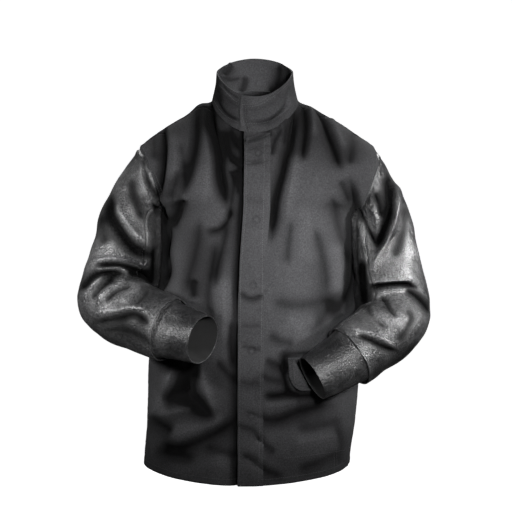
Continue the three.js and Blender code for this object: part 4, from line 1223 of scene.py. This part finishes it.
# %% Make the flap
FLAP_ABOVE = 0.00294
FLAP_STAND = 0.009
FLAP_DEPTH = 0.6
FLAP_FOLDS = (
    # The first stroke lifts the flap a little and paints it paler, as painted light. The other two
    # press grooves along its stitch rows and paint them dark, as painted shade.
    (4.6, 30, 30, 0, ((262, 374), (300, 372), (348, 370))),
    (-5.0, 1.1, 1.1, 0, ((280, 361.5), (300, 359.5), (330, 357))),
    (-3.0, 1.1, 1.1, 0, ((291, 352), (291.5, 378), (295, 385), (308, 387), (330, 386))),
)
flap = refined(outer_skin("pocket_flap"), 4)
flap_low, flap_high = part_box("pocket_flap")


def flap_stand(point):
    """The flap stands off most at the foot, and more toward the middle of the body."""
    down = (flap_high.z - point.z) / (flap_high.z - flap_low.z)
    side = (flap_high.x - point.x) / (flap_high.x - flap_low.x)
    return FLAP_ABOVE + FLAP_STAND * max(0.0, down) ** 1.5 * (0.4 + 0.6 * side)


lay_on_front(flap, flap_stand, level=True)
press_folds(flap, (0,), FLAP_FOLDS, share=FLAP_DEPTH)
flap.normal_update()
flap_piece = finish_piece("pocket_flap_cover", flap, "pocket_flap", "cotton", COTTON, STRIP_WALL)

# %% [markdown]
# ## Collar and cuffs
# The stand collar is two layers of drill with a stiff layer between, so it holds its curve and only
# dents softly. The dents that show inside its back are pressed from behind, and their fold tone
# paints shade there. The cuffs are bands of leather that come out of the sleeves' ends, with a
# near-black sheet of painted shade within.

# %% Make the collar
COLLAR_WALL = 0.0034
COLLAR_ROUND = 0.0011
COLLAR_REACH = 0.085
COLLAR_UNEVEN = (0.03, 0.8)  # patch in metres, height in millimetres
COLLAR_FOLDS = (
    (-1.6, 3, 3, 0, ((224, 96), (232, 104), (240, 108))),
    (-1.8, 3, 3, 0, ((244, 110), (256, 110), (270, 104), (284, 94))),
    (1.6, 3, 3, 0, ((218, 84), (226, 93), (234, 100))),
    (-2.0, 2, 2, 0, ((216, 88), (219, 97), (220, 104))),
    (-1.8, 1.1, 1.1, 0.7, ((242, 121), (252, 121.5), (262, 121), (272, 118), (280, 112),
                           (286, 107), (291, 97))),
    (-1.8, 1.1, 1.1, 0.7, ((214, 98), (222, 110), (231, 117), (241, 121))),
    (-1.6, 2.2, 2.2, 0, ((262, 126), (274, 122), (288, 113))),
    (1.4, 3, 3, 0, ((246, 104), (257, 103), (268, 98))),
    (-1.4, 2.4, 2.4, 0, ((291, 84), (288, 92), (282, 100))),
    # A broad stroke that paints shade over the left part of the collar, with a shallow dent.
    (-3.0, 10, 11, 0, ((206, 84), (216, 102), (228, 117), (240, 128))),
    (-2.4, 1.5, 1.5, 0, ((214, 92), (217, 100), (223, 111), (232, 117), (240, 121))),
    (-2.2, 1.5, 1.5, 0, ((221, 84), (226, 90), (232, 95), (240, 100))),
    (-3.0, 1.6, 1.6, 0, ((288, 94), (285, 104), (281, 111), (274, 117), (265, 122), (250, 124))),
    (2.2, 1.8, 1.8, 0, ((291, 96), (288, 104), (284, 111), (276, 118))),
    (-1.8, 1.6, 1.6, 0, ((245, 104), (245, 117), (248, 134))),
    (1.8, 1.6, 1.6, 0, ((240, 98), (240.5, 117), (245, 134))),
    (-1.8, 3, 3, 0, ((276, 84), (280, 90), (276, 98))),
)

# Dents inside the back of the collar, pressed from behind; their fold tone paints shade there.
COLLAR_BACK_DENTS = (
    (-4.5, 3, 3, 0, ((283, 60), (286, 67), (292, 72))),
    (-5.0, 2.6, 2.6, 0, ((267, 72), (268, 80), (272, 90))),
    (-2.5, 2.0, 2.0, 0, ((272, 74), (284, 76), (294, 74))),
    (-6.5, 5, 5, 0, ((228, 58), (227, 70), (232, 84), (242, 92))),
)

collar = refined(outer_skin("collar"), 4)
press_folds(collar, (0,), COLLAR_FOLDS)
press_folds(collar, (0,), COLLAR_BACK_DENTS, rear=True)
roughen(collar, (0,), *COLLAR_UNEVEN)
collar.normal_update()
lay_weave(collar, COLLAR_REACH)
collar_piece = finish_piece("stand_collar", collar, "collar", "cotton", COTTON, COLLAR_WALL)
collar_piece.modifiers["worn_edge"].width = COLLAR_ROUND
collar_piece.modifiers["worn_edge"].segments = 3

# %% Make the cuffs
CUFF_DEPTH = 0.5
CUFF_UNEVEN = (0.018, 1.2)
CUFF_FOLDS = (
    (2.0, 3, 3, 0, ((168, 308), (176, 312), (186, 313))),
    (-2.2, 4, 4, 0, ((164, 316), (178, 320), (192, 322))),
    (2.6, 5, 5, 0, ((166, 332), (176, 338), (188, 342))),
    (-3.4, 5, 5, 0, ((164, 348), (174, 352), (186, 356))),
    (-2.6, 4, 4, 0, ((340, 336), (332, 344), (318, 350))),
    (2.6, 6, 6, 0, ((352, 352), (340, 364), (326, 370))),
    (-3.4, 5, 5, 0, ((364, 372), (350, 380), (334, 388))),
)

cuff_pieces = []
for side in ("right", "left"):
    cuff = refined(outer_skin("cuff_" + side), 3)
    press_folds(cuff, (0,), CUFF_FOLDS, share=CUFF_DEPTH)
    roughen(cuff, (0,), *CUFF_UNEVEN)
    cuff.normal_update()
    name = side + "_cuff_band"
    cuff_pieces.append(finish_piece(name, cuff, "cuff_" + side, "leather", LEATHER, LEATHER_WALL))
    # The inner side of each cuff takes the near-black painted shade.
    cuff_pieces[-1].data.materials.append(CUFF_INSIDE_SHADE)
    cuff_pieces[-1].modifiers["wall"].material_offset = 1

# %% [markdown]
# ## Stitches
# Every edge and seam is sewn down with a row or two of lockstitch. On the front the rows are listed
# by their places in the picture, and elsewhere by the seam that they run beside.

# %% List the rows
PICTURE_ROWS = (
    # slot, path in the picture
    ("cotton", ((247.2, 139), (246, 181), (246.2, 209), (242.4, 252), (240.4, 302), (239.4, 484))),
    ("cotton", ((264.2, 138), (264, 181), (262.4, 252), (262, 302), (258.6, 484))),
    ("cotton", ((242.6, 104), (241.8, 112), (243.4, 121), (247, 133), (248, 135))),
    ("cotton", ((246, 106), (245.2, 112), (246.4, 121), (250, 133), (250.4, 134))),
    ("cotton", ((242, 104.6), (250, 104.2), (258, 102.6), (266, 98), (274, 93), (282, 86), (288, 80))),
    ("cotton", ((246, 107), (251, 106.6), (259, 105), (267, 100.6), (275, 95.6), (283, 88.6),
                (289, 83))),
    ("cotton", ((243, 123.2), (252, 123.6), (262, 123), (272, 120), (281, 114), (288, 108), (292, 99))),
    ("cotton", ((214, 101), (221, 111.6), (230, 118.8), (239, 122.6))),
    ("cotton", ((218, 84), (226, 92), (233, 99), (238, 102.6))),
    ("cotton", ((291.4, 360), (292.4, 383), (298, 387.4), (310, 386.6))),
    ("cotton", ((293.8, 360), (294.8, 381), (299.4, 384.8), (310, 384))),
    ("cotton", ((290, 360), (304, 358), (316, 356))),
    ("cotton", ((284, 458), (314, 454.6), (346, 450))),
    ("cotton", ((334, 447), (334.4, 473))),
    ("cotton", ((336.6, 447), (337, 473))),
)
SEAM_ROWS = (
    # slot, seam between these panels, side that is sewn, distance from the seam
    ("cotton", ((0, 2),), {0}, 0.003),
    ("cotton", ((1, 2),), {1}, 0.003),
    ("cotton", ((0, 3), (0, 4)), {0}, 0.003),
    ("cotton", ((0, 3), (0, 4)), {0}, 0.009),
    ("cotton", ((1, 5), (1, 6)), {1}, 0.003),
    ("cotton", ((1, 5), (1, 6)), {1}, 0.009),
    ("cotton", ((2, 3), (2, 4), (2, 5), (2, 6)), {2}, 0.003),
    ("cotton", ((2, 3), (2, 4), (2, 5), (2, 6)), {2}, 0.009),
    ("leather", ((3, 4),), {3}, 0.003),
    ("leather", ((5, 6),), {5}, 0.003),
)
HEM_ROW = 0.0125
HEM_TOP = -0.7
print("rows by picture and by seam:", len(PICTURE_ROWS), len(SEAM_ROWS))

# %% [markdown]
# ## Where the rows run
# A picture row is followed along the lines of sight to the finished surface. A seam row starts from
# the joined edges of two panels, put in order, and moves to the side that is sewn.

# %% Find the paths
SIGHTS = 4  # lines of sight between two points of a path
LARGEST_GAP = 0.02
SHORTEST_RUN = 8  # points


def surfaces_of(pieces):
    """The outer sides of finished pieces as one surface."""
    whole = bmesh.new()
    for piece in pieces:
        whole.from_mesh(piece.data)
    bmesh.ops.triangulate(whole, faces=whole.faces)
    tree = BVHTree.FromBMesh(whole)
    whole.free()
    return tree


laid_pieces = [placket_piece, flap_piece, collar_piece, *cuff_pieces]
front_surface = surfaces_of([*panel_pieces.values(), *laid_pieces])


def seen_row(path):
    """A row's points on the surface, from its path in the picture."""
    corners = curved_path(path)
    points = []
    for start, stop in zip(corners, corners[1:]):
        for step in range(SIGHTS):
            sight = line_of_sight(start + (stop - start) * step / SIGHTS)
            hit = front_surface.ray_cast(*sight)[0]
            if hit is not None and (not points or (hit - points[-1]).length < LARGEST_GAP):
                points.append(hit)
    return points


def chains(edges):
    """Joined edges as runs of points in order."""
    left = set(edges)
    while left:
        here = {v for e in left for v in e.verts if sum(f in left for f in v.link_edges) == 1}
        first = min(here or left.copy().pop().verts, key=lambda v: v.index)
        run = [first]
        while True:
            ways = [e for e in run[-1].link_edges if e in left]
            if not ways:
                break
            left.discard(ways[0])
            run.append(ways[0].other_vert(run[-1]))
        if len(run) > SHORTEST_RUN:
            yield run
        elif len(run) == 1:
            break


def beside_seam(run, side, apart):
    """The points of a run, moved onto the sewn side."""
    for vert in run:
        faces = [f for f in vert.link_faces if f.material_index in side]
        if faces:
            middle = sum((f.calc_center_median() for f in faces), Vector()) / len(faces)
            inward = middle - vert.co
            if inward.length > 0:
                yield vert.co + inward.normalized() * apart


print("pieces that carry stitches:", len(panel_pieces) + len(laid_pieces))

# %% [markdown]
# ## Sew
# One stitch is a short rounded thread that lies on the cloth and sinks in a little. The stitches of
# the cotton and those of the leather are a piece each.

# %% Sew the rows
STITCH_PITCH = 0.0036
STITCH_SIZE = (0.0013, 0.00034, 0.00026)
STITCH_RISE = 0.0001


def even_steps(points):
    """Points a stitch apart along a row."""
    made = [points[0]]
    for point in points[1:]:
        while (point - made[-1]).length >= STITCH_PITCH:
            made.append(made[-1] + (point - made[-1]).normalized() * STITCH_PITCH)
    return made


def sew(sheet, points):
    """Lay stitches along the points, on the nearest surface."""
    row = bmesh.new()
    steps = even_steps(points)
    for before, after in zip(steps, steps[1:]):
        spot, normal = front_surface.find_nearest((before + after) / 2)[:2]
        along = (after - before).normalized()
        across = normal.cross(along).normalized()
        up = along.cross(across)
        axes = [v * size for v, size in zip((along, across, up), STITCH_SIZE)]
        spot = spot + normal * STITCH_RISE
        place = Matrix([(*(a[i] for a in axes), spot[i]) for i in range(3)] + [(0, 0, 0, 1)])
        bmesh.ops.create_uvsphere(row, u_segments=6, v_segments=4, radius=1, matrix=place)
    mesh = bpy.data.meshes.new("row")
    row.to_mesh(mesh)
    row.free()
    sheet.from_mesh(mesh)
    bpy.data.meshes.remove(mesh)
    return len(steps) - 1


def thread_piece(name, slot):
    thread = bmesh.new()
    count = 0
    for kind, path in PICTURE_ROWS:
        if kind == slot:
            count += sew(thread, seen_row(path))
    for kind, pairs, side, apart in SEAM_ROWS:
        if kind == slot:
            for run in chains(seam_edges(finer, pairs)):
                count += sew(thread, list(beside_seam(run, side, apart)))
    if slot == "cotton":
        hem = [e for e in finer.edges if e.is_boundary and all(v.co.z < HEM_TOP for v in e.verts)]
        for run in chains(hem):
            count += sew(thread, [v.co + Vector((0, 0, HEM_ROW)) for v in run])
    for face in thread.faces:
        face.smooth = True
    mesh = bpy.data.meshes.new(name)
    thread.to_mesh(mesh)
    mesh.materials.append(THREAD)
    piece = bpy.data.objects.new(name, mesh)
    bpy.context.scene.collection.objects.link(piece)
    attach(piece, "root")
    print(name, "stitches:", count, "faces:", len(mesh.polygons))


finer.verts.index_update()
thread_piece("cotton_stitching", "cotton")
thread_piece("leather_stitching", "leather")

# %% [markdown]
# Each piece was cut flat before it was sewn. A size is the largest width and length measured along
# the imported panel, and the area is what is left once the armholes, the neck and the slopes are cut.

CUTS = (
    # piece, flat size in metres, flat area in square metres, how it is held, what it hangs from
    ("front_right_panel", (0.33, 0.74), 0.203, "hung", ["stand_collar"]),
    ("front_left_panel", (0.34, 0.74), 0.21, "hung", ["stand_collar"]),
    ("back_panel", (0.6, 0.77), 0.39, "hung", ["stand_collar"]),
    ("sleeve_right_outer_panel", (0.28, 0.62), 0.142, "gathered", ["front_right_panel", "back_panel"]),
    ("sleeve_right_inner_panel", (0.11, 0.46), 0.043, "gathered", ["front_right_panel", "back_panel"]),
    ("sleeve_left_outer_panel", (0.28, 0.62), 0.142, "gathered", ["front_left_panel", "back_panel"]),
    ("sleeve_left_inner_panel", (0.11, 0.46), 0.043, "gathered", ["front_left_panel", "back_panel"]),
    ("placket_strip", (0.056, 0.68), 0.036, "hung", ["front_left_panel"]),
    ("pocket_flap_cover", (0.15, 0.07), 0.0096, "hung", ["front_left_panel"]),
    ("stand_collar", (0.42, 0.085), 0.033, "folded", ["back_panel"]),
    ("right_cuff_band", (0.32, 0.1), 0.029, "folded", ["sleeve_right_outer_panel"]),
    ("left_cuff_band", (0.32, 0.1), 0.029, "folded", ["sleeve_left_outer_panel"]),
)
for name, flat, area, held, hangs_from in CUTS:
    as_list(hangs_from)
print("cloth and leather pieces:", len(CUTS))
